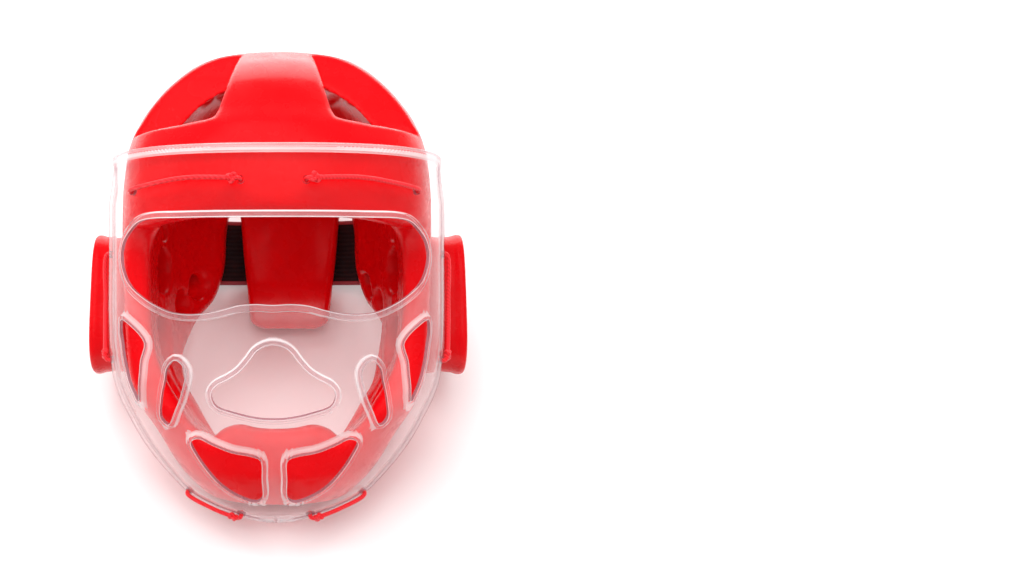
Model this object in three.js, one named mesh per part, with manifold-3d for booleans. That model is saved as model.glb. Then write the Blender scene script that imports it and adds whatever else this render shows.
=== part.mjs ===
// Sparring headgear with a clear face shield, in millimetres.
// It is modelled upright, as a head wears it: x to the wearer's left, y to the back, z up,
// with z = 0 level with the ears. The whole is then leant back, as it lies on a table.

import * as THREE from "three";
import * as BufferGeometryUtils from "three/addons/utils/BufferGeometryUtils.js";
import Module from "manifold-3d";

const wasm = await Module();
wasm.setup();

// Driving sizes of the foam
const CROWN_RISE = 149;
const CHIN_DROP = 145;
const BROW_REACH = 107;
const NAPE_REACH = 128;
const TEMPLE_HALF = 98;
const FOAM_WALL = 20;
const SEAM = 0.4;

// Driving sizes of the vents and openings
const BROW_EDGE_LEVEL = 31;
const BAND_TOP_LEVEL = 95;
const NAPE_TOP_LEVEL = 93;
const LIP_EDGE_LEVEL = -91;
const NAPE_SEAM_LEVEL = 66;
const EAR_HOLE_DIAMETER = 31;

// Driving sizes of the ear pods
const POD_LENGTH = 95;
const POD_WIDTH = 63;
const POD_RISE = 25;
const POD_CENTRE_Y = 11;
const POD_CENTRE_Z = -18;
const POD_LEAN = THREE.MathUtils.degToRad(12);

// Driving sizes of the face shield
const SHIELD_THICKNESS = 2;
const SHIELD_TOP_LEVEL = 77;
const SHIELD_DROP = 149;
const NOSE_ROOM = 25;
const CHEEK_ROOM = 7.5;
const SHIELD_CORNER = 22;
const SHIELD_STAND = 1.2;

// Driving sizes of the rear strap and of the laces
const STRAP_WIDTH = 50;
const STRAP_THICKNESS = 2.5;
const STRAP_LOW_LEVEL = -2;
const STRAP_SLOT_Y = 73;
const STRAP_TAB = 13;
const LACE_DIAMETER = 2;
const LACE_HOLE_DIAMETER = 4.6;
const TOUCH = 0.3;
const LYING_EASE = 1.2;

// How finely the round forms are cut
const FORM_TURNS = 34;
const FORM_ROWS = 17;
const HOLLOW_TURNS = 26;
const HOLLOW_ROWS = 13;
const VENT_SIDES = 10;
const EAR_HOLE_SIDES = 14;

// How far the headgear leans back as it lies on its chin guard and its rear strap
const REST_LEAN = THREE.MathUtils.degToRad(49.3);

// Sections of the foam, from the top down. Levels are shares of the rise or the drop,
// front and back of the brow and nape reach, half and middle of the temple half width.
// The exponents say how square the front and the back of a section are.
const FOAM_SECTIONS = [
  { level: 1.0, front: 0.1, back: 0.58, half: 0.25, middle: 0.33, squareFront: 2.2, squareBack: 2.2 },
  { level: 0.98, front: 0.22, back: 0.63, half: 0.41, middle: 0.28, squareFront: 2.3, squareBack: 2.3 },
  { level: 0.95, front: 0.33, back: 0.68, half: 0.54, middle: 0.22, squareFront: 2.3, squareBack: 2.3 },
  { level: 0.87, front: 0.58, back: 0.745, half: 0.71, middle: 0.12, squareFront: 2.4, squareBack: 2.3 },
  { level: 0.78, front: 0.755, back: 0.85, half: 0.84, middle: 0.02, squareFront: 2.6, squareBack: 2.3 },
  { level: 0.67, front: 0.888, back: 0.965, half: 0.935, middle: -0.08, squareFront: 2.8, squareBack: 2.3 },
  { level: 0.585, front: 0.963, back: 1.0, half: 0.97, middle: -0.13, squareFront: 2.9, squareBack: 2.3 },
  { level: 0.49, front: 1.0, back: 0.99, half: 0.99, middle: -0.15, squareFront: 3, squareBack: 2.3 },
  { level: 0.33, front: 1.0, back: 0.969, half: 1.0, middle: -0.15, squareFront: 3, squareBack: 2.3 },
  { level: 0.19, front: 0.985, back: 0.93, half: 1.0, middle: -0.15, squareFront: 3, squareBack: 2.3 },
  { level: 0.0, front: 1.0, back: 0.867, half: 0.995, middle: -0.15, squareFront: 3, squareBack: 2.4 },
  { level: -0.14, front: 0.99, back: 0.86, half: 0.99, middle: -0.15, squareFront: 3, squareBack: 2.5 },
  { level: -0.28, front: 0.96, back: 0.83, half: 0.98, middle: -0.15, squareFront: 3, squareBack: 2.6 },
  { level: -0.41, front: 0.88, back: 0.8, half: 0.96, middle: -0.15, squareFront: 3, squareBack: 2.6 },
  { level: -0.54, front: 0.73, back: 0.75, half: 0.9, middle: -0.15, squareFront: 3, squareBack: 2.6 },
  { level: -0.67, front: 0.59, back: 0.7, half: 0.785, middle: -0.14, squareFront: 2.9, squareBack: 2.6 },
  { level: -0.82, front: 0.575, back: 0.62, half: 0.65, middle: -0.12, squareFront: 2.7, squareBack: 2.5 },
  { level: -0.92, front: 0.5, back: 0.52, half: 0.52, middle: -0.1, squareFront: 2.5, squareBack: 2.4 },
  { level: -0.975, front: 0.4, back: 0.42, half: 0.42, middle: -0.05, squareFront: 2.4, squareBack: 2.3 },
  { level: -1.0, front: 0.31, back: 0.33, half: 0.34, middle: 0.0, squareFront: 2.3, squareBack: 2.2 },
];

// Sections of the face shield, from the top down. Front is a share of the shield's reach,
// half of its half width, and edge says how far forward of the ears its rear edge runs.
const SHIELD_REACH = BROW_REACH + NOSE_ROOM;
const SHIELD_HALF = TEMPLE_HALF + CHEEK_ROOM;
const SHIELD_SECTIONS = [
  { level: 1.0, front: 0.875, half: 1.0, edge: 0.165 },
  { level: 0.77, front: 0.914, half: 1.0, edge: 0.165 },
  { level: 0.6, front: 0.932, half: 1.0, edge: 0.165 },
  { level: 0.47, front: 0.935, half: 1.0, edge: 0.165 },
  { level: 0.0, front: 0.977, half: 1.0, edge: 0.165 },
  { level: -0.108, front: 1.0, half: 1.0, edge: 0.165 },
  { level: -0.255, front: 0.955, half: 1.0, edge: 0.165 },
  { level: -0.4, front: 0.945, half: 0.99, edge: 0.165 },
  { level: -0.47, front: 0.93, half: 0.97, edge: 0.167 },
  { level: -0.56, front: 0.885, half: 0.93, edge: 0.17 },
  { level: -0.67, front: 0.81, half: 0.84, edge: 0.175 },
  { level: -0.81, front: 0.69, half: 0.69, edge: 0.2 },
  { level: -0.9, front: 0.58, half: 0.545, edge: 0.26 },
  { level: -0.955, front: 0.515, half: 0.4, edge: 0.32 },
  { level: -0.985, front: 0.465, half: 0.24, edge: 0.38 },
  { level: -1.0, front: 0.44, half: 0.08, edge: 0.42 },
];
const SHIELD_SQUARE = 2.6;

// Outlines of the shield's openings, seen from the front: side is a share of the shield's
// half width, level of its drop. Those off the middle are mirrored.
const EYE_OUTLINE = [
  { side: 0.0, level: 0.44 },
  { side: 0.49, level: 0.44 },
  { side: 0.665, level: 0.44 },
  { side: 0.73, level: 0.42 },
  { side: 0.78, level: 0.36 },
  { side: 0.823, level: 0.275 },
  { side: 0.837, level: 0.169 },
  { side: 0.815, level: 0.047 },
  { side: 0.775, level: -0.023 },
  { side: 0.69, level: -0.072 },
  { side: 0.61, level: -0.103 },
  { side: 0.53, level: -0.124 },
  { side: 0.44, level: -0.131 },
  { side: 0.35, level: -0.127 },
  { side: 0.27, level: -0.116 },
  { side: 0.18, level: -0.1 },
  { side: 0.09, level: -0.095 },
  { side: 0.0, level: -0.098 },
];
const NOSE_OUTLINE = [
  { side: 0.0, level: -0.244 },
  { side: 0.09, level: -0.265 },
  { side: 0.135, level: -0.305 },
  { side: 0.19, level: -0.346 },
  { side: 0.25, level: -0.373 },
  { side: 0.315, level: -0.395 },
  { side: 0.345, level: -0.418 },
  { side: 0.347, level: -0.441 },
  { side: 0.325, level: -0.472 },
  { side: 0.22, level: -0.498 },
  { side: 0.1, level: -0.517 },
  { side: 0.0, level: -0.522 },
];
const CHEEK_OUTLINE = [
  { side: 0.86, level: -0.157 },
  { side: 0.785, level: -0.185 },
  { side: 0.73, level: -0.223 },
  { side: 0.713, level: -0.247 },
  { side: 0.721, level: -0.27 },
  { side: 0.74, level: -0.31 },
  { side: 0.75, level: -0.365 },
  { side: 0.765, level: -0.471 },
  { side: 0.79, level: -0.437 },
  { side: 0.82, level: -0.391 },
  { side: 0.847, level: -0.318 },
  { side: 0.861, level: -0.252 },
  { side: 0.872, level: -0.204 },
];
const SLOT_OUTLINE = [
  { side: 0.542, level: -0.305 },
  { side: 0.487, level: -0.342 },
  { side: 0.51, level: -0.43 },
  { side: 0.55, level: -0.495 },
  { side: 0.598, level: -0.554 },
  { side: 0.635, level: -0.532 },
  { side: 0.63, level: -0.466 },
  { side: 0.604, level: -0.383 },
  { side: 0.592, level: -0.337 },
];
const CHIN_OUTLINE = [
  { side: 0.462, level: -0.622 },
  { side: 0.415, level: -0.603 },
  { side: 0.345, level: -0.626 },
  { side: 0.237, level: -0.657 },
  { side: 0.135, level: -0.672 },
  { side: 0.093, level: -0.69 },
  { side: 0.09, level: -0.775 },
  { side: 0.09, level: -0.856 },
  { side: 0.124, level: -0.881 },
  { side: 0.213, level: -0.853 },
  { side: 0.306, level: -0.803 },
  { side: 0.375, level: -0.742 },
  { side: 0.437, level: -0.668 },
];

// Round vents through the sides of the foam: y as a share of the nape reach,
// level as a share of the rise or drop
const SIDE_VENTS = [
  { y: 0.207, level: 0.454, diameter: 24 },
  { y: 0.568, level: 0.428, diameter: 19 },
  { y: -0.177, level: 0.432, diameter: 20 },
  { y: 0.086, level: 0.238, diameter: 17 },
  { y: 0.506, level: -0.021, diameter: 19 },
  { y: 0.356, level: -0.108, diameter: 20 },
  { y: -0.117, level: -0.486, diameter: 19 },
];
const CROWN_VENT = { y: 0.09, side: 0.46, diameter: 24 };

// The ear pod's two holes, as shares of its length and width from its centre
const EAR_HOLES = [
  { across: 0, along: 0.242 },
  { across: -0.11, along: -0.253 },
];
const earHoleCentre = ({ across, along }) => ({
  y: POD_CENTRE_Y + across * POD_WIDTH,
  z: POD_CENTRE_Z + along * POD_LENGTH,
});

// Laces that tie the shield to the foam, as points seen from the front on its outer face
const BROW_LACE = [
  { side: 0.78, level: 0.66 },
  { side: 0.61, level: 0.7 },
  { side: 0.445, level: 0.725 },
  { side: 0.215, level: 0.72 },
];
const CHIN_LACE = [
  { side: 0.505, level: -0.868 },
  { side: 0.36, level: -0.918 },
  { side: 0.2, level: -0.958 },
];
const CHEEK_LACE = [
  { side: 0.991, level: 0.21 },
  { side: 0.992, level: -0.075 },
  { side: 0.983, level: -0.24 },
  { side: 0.96, level: -0.328 },
];

const COLOURS = {
  foam: { color: 0xd2121f, roughness: 0.3, metalness: 0 },
  pod: { color: 0xc8101c, roughness: 0.32, metalness: 0 },
  shield: { color: 0xeef3f5, roughness: 0.06, metalness: 0 },
  lace: { color: 0xb3121d, roughness: 0.7, metalness: 0 },
  strap: { color: 0x17181a, roughness: 0.85, metalness: 0 },
};

// A smooth value of one column of a table at a level that falls from row to row
function smoothColumn(table, column, level) {
  const last = table.length - 1;
  if (level >= table[0].level) return table[0][column];
  if (level <= table[last].level) return table[last][column];
  let row = 0;
  while (table[row + 1].level > level) row += 1;
  const slope = (k) => (table[k + 1][column] - table[k][column]) / (table[k + 1].level - table[k].level);
  const tangent = (k) => {
    if (k === 0) return slope(0);
    if (k === last) return slope(last - 1);
    const before = slope(k - 1);
    const after = slope(k);
    if (before * after <= 0) return 0;
    return (2 * before * after) / (before + after);
  };
  const width = table[row + 1].level - table[row].level;
  const t = (level - table[row].level) / width;
  const start = table[row][column];
  const end = table[row + 1][column];
  const rise = t * t * (3 - 2 * t);
  const curl = t * (1 - t) * (1 - t) * tangent(row) - t * t * (1 - t) * tangent(row + 1);
  return start + (end - start) * rise + width * curl;
}

function signedPower(value, power) {
  return Math.sign(value) * Math.abs(value) ** power;
}

// The foam's section at a height, grown or shrunk all round by an offset
function foamSection(z, offset) {
  const reach = z >= 0 ? CROWN_RISE : CHIN_DROP;
  const level = z / (reach + offset);
  const column = (name) => smoothColumn(FOAM_SECTIONS, name, level);
  const middle = column("middle") * TEMPLE_HALF;
  const smallest = 0.06 * TEMPLE_HALF;
  return {
    middle,
    half: Math.max(column("half") * TEMPLE_HALF + offset, smallest),
    front: Math.min(-column("front") * BROW_REACH - offset, middle - smallest),
    back: Math.max(column("back") * NAPE_REACH + offset, middle + smallest),
    squareFront: column("squareFront"),
    squareBack: column("squareBack"),
  };
}

// A point of a foam section, by its angle from the front
function foamPoint(z, angle, offset) {
  const section = foamSection(z, offset);
  const forward = Math.cos(angle) > 0;
  const square = forward ? section.squareFront : section.squareBack;
  const depth = forward ? section.middle - section.front : section.back - section.middle;
  const x = section.half * signedPower(Math.sin(angle), 2 / square);
  const y = section.middle - depth * signedPower(Math.cos(angle), 2 / square);
  return new THREE.Vector3(x, y, z);
}

function toSolid(geometry) {
  const bare = geometry.clone();
  bare.deleteAttribute("normal");
  bare.deleteAttribute("uv");
  const merged = BufferGeometryUtils.mergeVertices(bare, 1e-4);
  return new wasm.Manifold(
    new wasm.Mesh({
      numProp: 3,
      vertProperties: new Float32Array(merged.attributes.position.array),
      triVerts: new Uint32Array(merged.index.array),
    }),
  );
}

function toGeometry(solid) {
  const mesh = solid.getMesh();
  const geometry = new THREE.BufferGeometry();
  geometry.setAttribute("position", new THREE.BufferAttribute(new Float32Array(mesh.vertProperties), 3));
  geometry.setIndex(new THREE.BufferAttribute(new Uint32Array(mesh.triVerts), 1));
  geometry.computeVertexNormals();
  return geometry;
}

function meshFrom(points, triangles) {
  const geometry = new THREE.BufferGeometry();
  const places = points.flatMap((point) => [point.x, point.y, point.z]);
  geometry.setAttribute("position", new THREE.Float32BufferAttribute(places, 3));
  geometry.setIndex(triangles);
  return geometry;
}

// A closed solid through rings of points, each ring turning the same way, capped at both ends
function loftRings(rings) {
  const around = rings[0].length;
  const points = rings.flat();
  const triangles = [];
  for (let ring = 0; ring < rings.length - 1; ring += 1) {
    for (let k = 0; k < around; k += 1) {
      const next = (k + 1) % around;
      const a = ring * around + k;
      const b = ring * around + next;
      const c = a + around;
      const d = b + around;
      triangles.push(a, b, c, b, d, c);
    }
  }
  [0, rings.length - 1].forEach((ring) => {
    const centre = new THREE.Vector3();
    rings[ring].forEach((point) => centre.add(point));
    points.push(centre.divideScalar(around));
    for (let k = 0; k < around; k += 1) {
      const next = (k + 1) % around;
      const a = ring * around + k;
      const b = ring * around + next;
      if (ring === 0) triangles.push(points.length - 1, b, a);
      else triangles.push(points.length - 1, a, b);
    }
  });
  return meshFrom(points, triangles);
}

// The whole form of the foam, grown or shrunk by an offset
function foamForm(offset, around, rows) {
  const top = CROWN_RISE + offset;
  const bottom = -(CHIN_DROP + offset);
  const rings = [];
  for (let row = 0; row <= rows; row += 1) {
    const turn = Math.PI * (row / rows);
    const middle = (top + bottom) / 2;
    const z = middle + ((top - bottom) / 2) * signedPower(Math.cos(turn), 0.85);
    const ring = [];
    for (let k = 0; k < around; k += 1) ring.push(foamPoint(z, (2 * Math.PI * k) / around, offset));
    rings.push(ring);
  }
  return toSolid(loftRings(rings.reverse()));
}

// A prism of an outline, pushed along an axis. Along x the outline is (y, z), along y it is
// (x, z) and along z it is (x, y).
function prism(outline, axis, low, high) {
  const flip = axis === "y";
  const shape = new THREE.Shape(outline.map(([u, v]) => new THREE.Vector2(u, v)));
  const geometry = new THREE.ExtrudeGeometry(shape, { depth: high - low, bevelEnabled: false });
  const place = new THREE.Matrix4();
  if (axis === "x") place.set(0, 0, 1, low, 1, 0, 0, 0, 0, 1, 0, 0, 0, 0, 0, 1);
  if (flip) place.set(1, 0, 0, 0, 0, 0, -1, high, 0, 1, 0, 0, 0, 0, 0, 1);
  if (axis === "z") place.makeTranslation(0, 0, low);
  geometry.applyMatrix4(place);
  return toSolid(geometry);
}

// The same solid on the other side of the middle
function mirrored(solid) {
  const geometry = toGeometry(solid);
  const index = geometry.index.array;
  for (let k = 0; k < index.length; k += 3) [index[k], index[k + 1]] = [index[k + 1], index[k]];
  return toSolid(geometry.scale(-1, 1, 1));
}

function bothSides(solid) {
  return solid.add(mirrored(solid));
}

function drill(from, to, diameter, sides) {
  const geometry = new THREE.CylinderGeometry(diameter / 2, diameter / 2, from.distanceTo(to), sides);
  const direction = to.clone().sub(from).normalize();
  geometry.applyQuaternion(new THREE.Quaternion().setFromUnitVectors(new THREE.Vector3(0, 1, 0), direction));
  const centre = from.clone().add(to).multiplyScalar(0.5);
  geometry.translate(centre.x, centre.y, centre.z);
  return toSolid(geometry);
}

const FAR = 2 * (BROW_REACH + NAPE_REACH);
const PAST = 1.3 * TEMPLE_HALF;
const heightOf = (level) => level * (level >= 0 ? CROWN_RISE : CHIN_DROP);

// The face opening's rear edge seen from the side, from the brow down: a share of the brow
// reach, and a level as a share of the brow edge's height or of the lip's
const FACE_REAR_EDGE = [
  { front: 0.655, level: 1.0 },
  { front: 0.58, level: 0.8 },
  { front: 0.52, level: 0.45 },
  { front: 0.48, level: -0.07 },
  { front: 0.467, level: -0.31 },
  { front: 0.49, level: -0.6 },
  { front: 0.53, level: -0.84 },
  { front: 0.56, level: -1.0 },
  { front: 0.57, level: -1.1 },
];

// The face opening seen from the front, from the brow down to the middle of the lip: a share
// of the temple half width, and the same levels
const FACE_OUTLINE = [
  { side: 0.7, level: 1.0 },
  { side: 0.765, level: 0.75 },
  { side: 0.785, level: 0.3 },
  { side: 0.785, level: -0.3 },
  { side: 0.74, level: -0.54 },
  { side: 0.69, level: -0.69 },
  { side: 0.62, level: -0.83 },
  { side: 0.56, level: -0.95 },
  { side: 0.47, level: -1.04 },
  { side: 0.4, level: -1.07 },
  { side: 0.34, level: -1.02 },
  { side: 0.24, level: -0.985 },
  { side: 0.1, level: -1.01 },
];
const faceHeight = (level) => level * (level >= 0 ? BROW_EDGE_LEVEL : -LIP_EDGE_LEVEL);

function faceCutter() {
  const front = -1.5 * BROW_REACH;
  const rear = FACE_REAR_EDGE.map((row) => [-row.front * BROW_REACH, faceHeight(row.level)]);
  const side = prism([[front, BROW_EDGE_LEVEL], ...rear, [front, rear.at(-1)[1]]], "x", -PAST, PAST);
  const left = FACE_OUTLINE.map((row) => [-row.side * TEMPLE_HALF, faceHeight(row.level)]);
  const leftLip = left.slice(-5);
  const mirror = (points) => points.map(([x, z]) => [-x, z]).reverse();
  const lip = [[-PAST, leftLip[0][1]], ...leftLip, ...mirror(leftLip), [PAST, leftLip[0][1]]];
  const aboveLip = prism([[-PAST, 2 * BROW_EDGE_LEVEL], ...lip, [PAST, 2 * BROW_EDGE_LEVEL]], "y", -FAR, 0);
  const opening = prism([...left, ...mirror(left)], "y", -FAR, 0);
  return side.intersect(aboveLip).add(opening);
}

// The line from the vent's lower rear corner up to the crown, seen from the side
const VENT_EDGE = [
  [-0.45 * BROW_REACH, BAND_TOP_LEVEL],
  [-0.27 * BROW_REACH, BAND_TOP_LEVEL + 0.82 * (CROWN_RISE - BAND_TOP_LEVEL)],
  [-0.16 * BROW_REACH, CROWN_RISE + FOAM_WALL],
];

// The two large vents above the brow, either side of the centre strip
function browVentCutter() {
  const front = -1.5 * BROW_REACH;
  const side = [[front, BAND_TOP_LEVEL], ...VENT_EDGE, [front, CROWN_RISE + FOAM_WALL]];
  const rise = CROWN_RISE - BAND_TOP_LEVEL;
  const frontal = [
    [0.4 * TEMPLE_HALF, BAND_TOP_LEVEL],
    [PAST, BAND_TOP_LEVEL],
    [PAST, CROWN_RISE + FOAM_WALL],
    [0.2 * TEMPLE_HALF, CROWN_RISE + FOAM_WALL],
    [0.225 * TEMPLE_HALF, BAND_TOP_LEVEL + 0.87 * rise],
    [0.268 * TEMPLE_HALF, BAND_TOP_LEVEL + 0.53 * rise],
    [0.3 * TEMPLE_HALF, BAND_TOP_LEVEL + 0.3 * rise],
    [0.335 * TEMPLE_HALF, BAND_TOP_LEVEL + 0.08 * rise],
  ];
  return bothSides(prism(side, "x", 0, PAST).intersect(prism(frontal, "y", -FAR, 0)));
}

// The opening between the crown and the nape band, with the crown's centre tab left standing
function napeVentCutter() {
  const high = CROWN_RISE + FOAM_WALL;
  const side = [
    [FAR, NAPE_TOP_LEVEL],
    [FAR, high],
    [0.5 * NAPE_REACH, high],
    [0.515 * NAPE_REACH, 0.91 * CROWN_RISE],
    [0.53 * NAPE_REACH, 0.78 * CROWN_RISE],
    [0.69 * NAPE_REACH, NAPE_TOP_LEVEL],
  ];
  const tab = [
    [0, 0.81 * CROWN_RISE],
    [0.65 * NAPE_REACH, 0.81 * CROWN_RISE],
    [0.67 * NAPE_REACH, 0.84 * CROWN_RISE],
    [0.67 * NAPE_REACH, 0.93 * CROWN_RISE],
    [0.64 * NAPE_REACH, 1.1 * high],
    [0, 1.1 * high],
  ];
  const half = 0.36 * TEMPLE_HALF;
  return prism(side, "x", -PAST, PAST).subtract(prism(tab, "x", -half, half));
}

// Everything behind and below the jaw line, seen from the side
const JAW_LINE = [
  { y: 0.78, level: -0.02 },
  { y: 0.735, level: -0.08 },
  { y: 0.68, level: -0.135 },
  { y: 0.575, level: -0.195 },
  { y: 0.45, level: -0.285 },
  { y: 0.325, level: -0.385 },
  { y: 0.235, level: -0.48 },
  { y: 0.155, level: -0.62 },
  { y: 0.085, level: -0.75 },
  { y: 0.03, level: -0.84 },
  { y: -0.015, level: -0.9 },
];

function neckCutter() {
  const jaw = JAW_LINE.map(({ y, level }) => [y * NAPE_REACH, level * CHIN_DROP]);
  const below = -1.3 * CHIN_DROP;
  const side = [
    [FAR, 0],
    [0.86 * NAPE_REACH, 0],
    ...jaw,
    [-0.045 * NAPE_REACH, -CHIN_DROP],
    [-0.06 * NAPE_REACH, below],
    [FAR, below],
  ];
  return prism(side.reverse(), "x", -PAST, PAST);
}

// The gap in the nape either side of the nape pad, and under it. Levels above the ears are
// shares of the height of the nape seam, which the pad hangs from.
const NAPE_SLIT = [
  { inner: 0.41, outer: 0.42, level: 1.0 },
  { inner: 0.39, outer: 0.49, level: 0.711 },
  { inner: 0.365, outer: 0.61, level: 0.302 },
  { inner: 0.31, outer: 0.655, level: -0.138 },
  { inner: 0.29, outer: 0.68, level: -0.34 },
];

const napeHeight = (level) => level * (level >= 0 ? NAPE_SEAM_LEVEL : CHIN_DROP);

function napeGapCutter() {
  const right = NAPE_SLIT.map(({ outer, level }) => [outer * TEMPLE_HALF, napeHeight(level)]);
  const left = right.map(([x, z]) => [-x, z]).reverse();
  const top = [
    [-NAPE_SLIT[0].outer * TEMPLE_HALF, NAPE_SEAM_LEVEL],
    [NAPE_SLIT[0].outer * TEMPLE_HALF, NAPE_SEAM_LEVEL],
  ];
  return prism([...left, ...top, ...right], "y", 0.3 * NAPE_REACH, FAR);
}

function ventCutters() {
  const cutters = SIDE_VENTS.map((vent) => {
    const y = vent.y * NAPE_REACH;
    const z = heightOf(vent.level);
    const near = new THREE.Vector3(0.4 * TEMPLE_HALF, y, z);
    return drill(near, new THREE.Vector3(PAST, y, z), vent.diameter, VENT_SIDES);
  });
  EAR_HOLES.map(earHoleCentre).forEach(({ y, z }) => {
    const near = new THREE.Vector3(0.4 * TEMPLE_HALF, y, z);
    cutters.push(drill(near, new THREE.Vector3(PAST, y, z), EAR_HOLE_DIAMETER, EAR_HOLE_SIDES));
  });
  return bothSides(cutters.reduce((all, one) => all.add(one)));
}

function crownVentCutter() {
  const half = CROWN_VENT.side * TEMPLE_HALF;
  const y = CROWN_VENT.y * NAPE_REACH;
  const inside = new THREE.Vector3(0.45 * half, y, 0.55 * CROWN_RISE);
  const outside = new THREE.Vector3(1.55 * half, y, 1.17 * CROWN_RISE);
  return bothSides(drill(inside, outside, CROWN_VENT.diameter, VENT_SIDES));
}

// The slots that the strap's ends pass through
function strapSlots() {
  const half = STRAP_THICKNESS / 2 + SEAM;
  const outline = [
    [0.5 * TEMPLE_HALF, STRAP_SLOT_Y - half],
    [PAST, STRAP_SLOT_Y - half],
    [PAST, STRAP_SLOT_Y + half],
    [0.5 * TEMPLE_HALF, STRAP_SLOT_Y + half],
  ];
  return bothSides(prism(outline, "z", STRAP_LOW_LEVEL - 1, STRAP_LOW_LEVEL + STRAP_WIDTH + 1));
}

// The lines where the pieces of foam meet, seen from the side
const BROW_SEAM = [
  [-0.62 * BROW_REACH, 0.5 * BROW_EDGE_LEVEL],
  [-0.3 * BROW_REACH, BAND_TOP_LEVEL],
];
const WING_SEAM_Y = 0.34 * NAPE_REACH;
const CHIN_SEAM_LEVEL = -0.585 * CHIN_DROP;

// The side region of one piece of foam, held back from its seams by half the seam gap
function sideRegion(outline) {
  return prism(outline, "x", -PAST, PAST);
}

const gap = SEAM / 2;
const LOW = -1.5 * CHIN_DROP;
const HIGH = 1.5 * CROWN_RISE;

function browRegion() {
  const [[y0, z0], [y1, z1]] = BROW_SEAM;
  const slope = (y1 - y0) / (z1 - z0);
  const low = z0 - 8;
  return sideRegion([
    [-FAR, low],
    [y0 - 8 * slope - gap, low],
    [y1 - gap, z1 - gap],
    [-FAR, z1 - gap],
  ]);
}

function earRegion() {
  const [[y0, z0], [y1, z1]] = BROW_SEAM;
  const slope = (y1 - y0) / (z1 - z0);
  const low = z0 - 8;
  return sideRegion([
    [-FAR, CHIN_SEAM_LEVEL + gap],
    [WING_SEAM_Y - gap, CHIN_SEAM_LEVEL + gap],
    [WING_SEAM_Y - gap, z1 - gap],
    [y1 + gap, z1 - gap],
    [y0 - 8 * slope + gap, low],
    [-FAR, low],
  ]);
}

function wingRegion() {
  return sideRegion([
    [WING_SEAM_Y + gap, LOW],
    [FAR, LOW],
    [FAR, BAND_TOP_LEVEL - gap],
    [WING_SEAM_Y + gap, BAND_TOP_LEVEL - gap],
  ]);
}

function chinRegion() {
  return sideRegion([
    [-FAR, LOW],
    [WING_SEAM_Y - gap, LOW],
    [WING_SEAM_Y - gap, CHIN_SEAM_LEVEL - gap],
    [-FAR, CHIN_SEAM_LEVEL - gap],
  ]);
}

function crownRegion() {
  return sideRegion([
    [-FAR, BAND_TOP_LEVEL + gap],
    [FAR, BAND_TOP_LEVEL + gap],
    [FAR, HIGH],
    [-FAR, HIGH],
  ]);
}

// The half on the wearer's left, clear of the middle
function leftHalf() {
  return prism([[gap, -FAR], [FAR, -FAR], [FAR, FAR], [gap, FAR]], "z", LOW, HIGH);
}

const NAPE_BAND_HALF = 0.48 * TEMPLE_HALF;

// The middle of the nape above its seam, grown by a gap
function napeBandRegion(grown) {
  const half = NAPE_BAND_HALF + grown;
  const low = NAPE_SEAM_LEVEL + gap - grown;
  return prism([[-half, low], [half, low], [half, HIGH], [-half, HIGH]], "y", 0, FAR);
}

// The nape pad hangs from the nape band and curves in below the strap
const NAPE_PAD_ROWS = [
  { level: 1.0, back: 0.9935, half: 0.41 },
  { level: 0.711, back: 0.964, half: 0.385 },
  { level: 0.302, back: 0.912, half: 0.36 },
  { level: 0.0, back: 0.867, half: 0.335 },
  { level: -0.07, back: 0.815, half: 0.322 },
  { level: -0.14, back: 0.735, half: 0.308 },
  { level: -0.2, back: 0.65, half: 0.295 },
  { level: -0.235, back: 0.59, half: 0.25 },
];

function napePad() {
  const rings = NAPE_PAD_ROWS.map(({ level, back, half }) => {
    const z = napeHeight(level);
    const outside = back * NAPE_REACH;
    const side = half * TEMPLE_HALF;
    const section = foamSection(Math.max(z, 0), 0);
    const depth = section.back - section.middle;
    const square = section.squareBack;
    const drop = (x) => depth * (1 - (1 - Math.abs(x / section.half) ** square) ** (1 / square));
    const ring = [];
    const steps = 6;
    for (let k = 0; k <= steps; k += 1) {
      const share = (2 * k) / steps - 1;
      ring.push(new THREE.Vector3(share * side, outside - drop(share * side), z));
    }
    for (let k = steps; k >= 0; k -= 1) {
      const share = (2 * k) / steps - 1;
      ring.push(new THREE.Vector3(share * side, outside - FOAM_WALL - drop(share * side), z));
    }
    return ring.reverse();
  });
  return toSolid(loftRings(rings.reverse()));
}

// The chin guard is flat where it lies on the table, level with the strap's lower edge
function tableCutter() {
  const strap = foamSection(STRAP_LOW_LEVEL, LYING_EASE + STRAP_THICKNESS / 2);
  const lowest = new THREE.Vector2(strap.back + STRAP_THICKNESS / 2, STRAP_LOW_LEVEL);
  const up = new THREE.Vector2(-Math.sin(REST_LEAN), Math.cos(REST_LEAN));
  const floor = lowest.dot(up);
  const corners = [
    [-FAR, floor - FAR],
    [FAR, floor - FAR],
    [FAR, floor],
    [-FAR, floor],
  ];
  const outline = corners.map(([run, rise]) => [run * up.y + rise * up.x, -run * up.x + rise * up.y]);
  return prism(outline, "x", -PAST, PAST);
}

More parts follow.
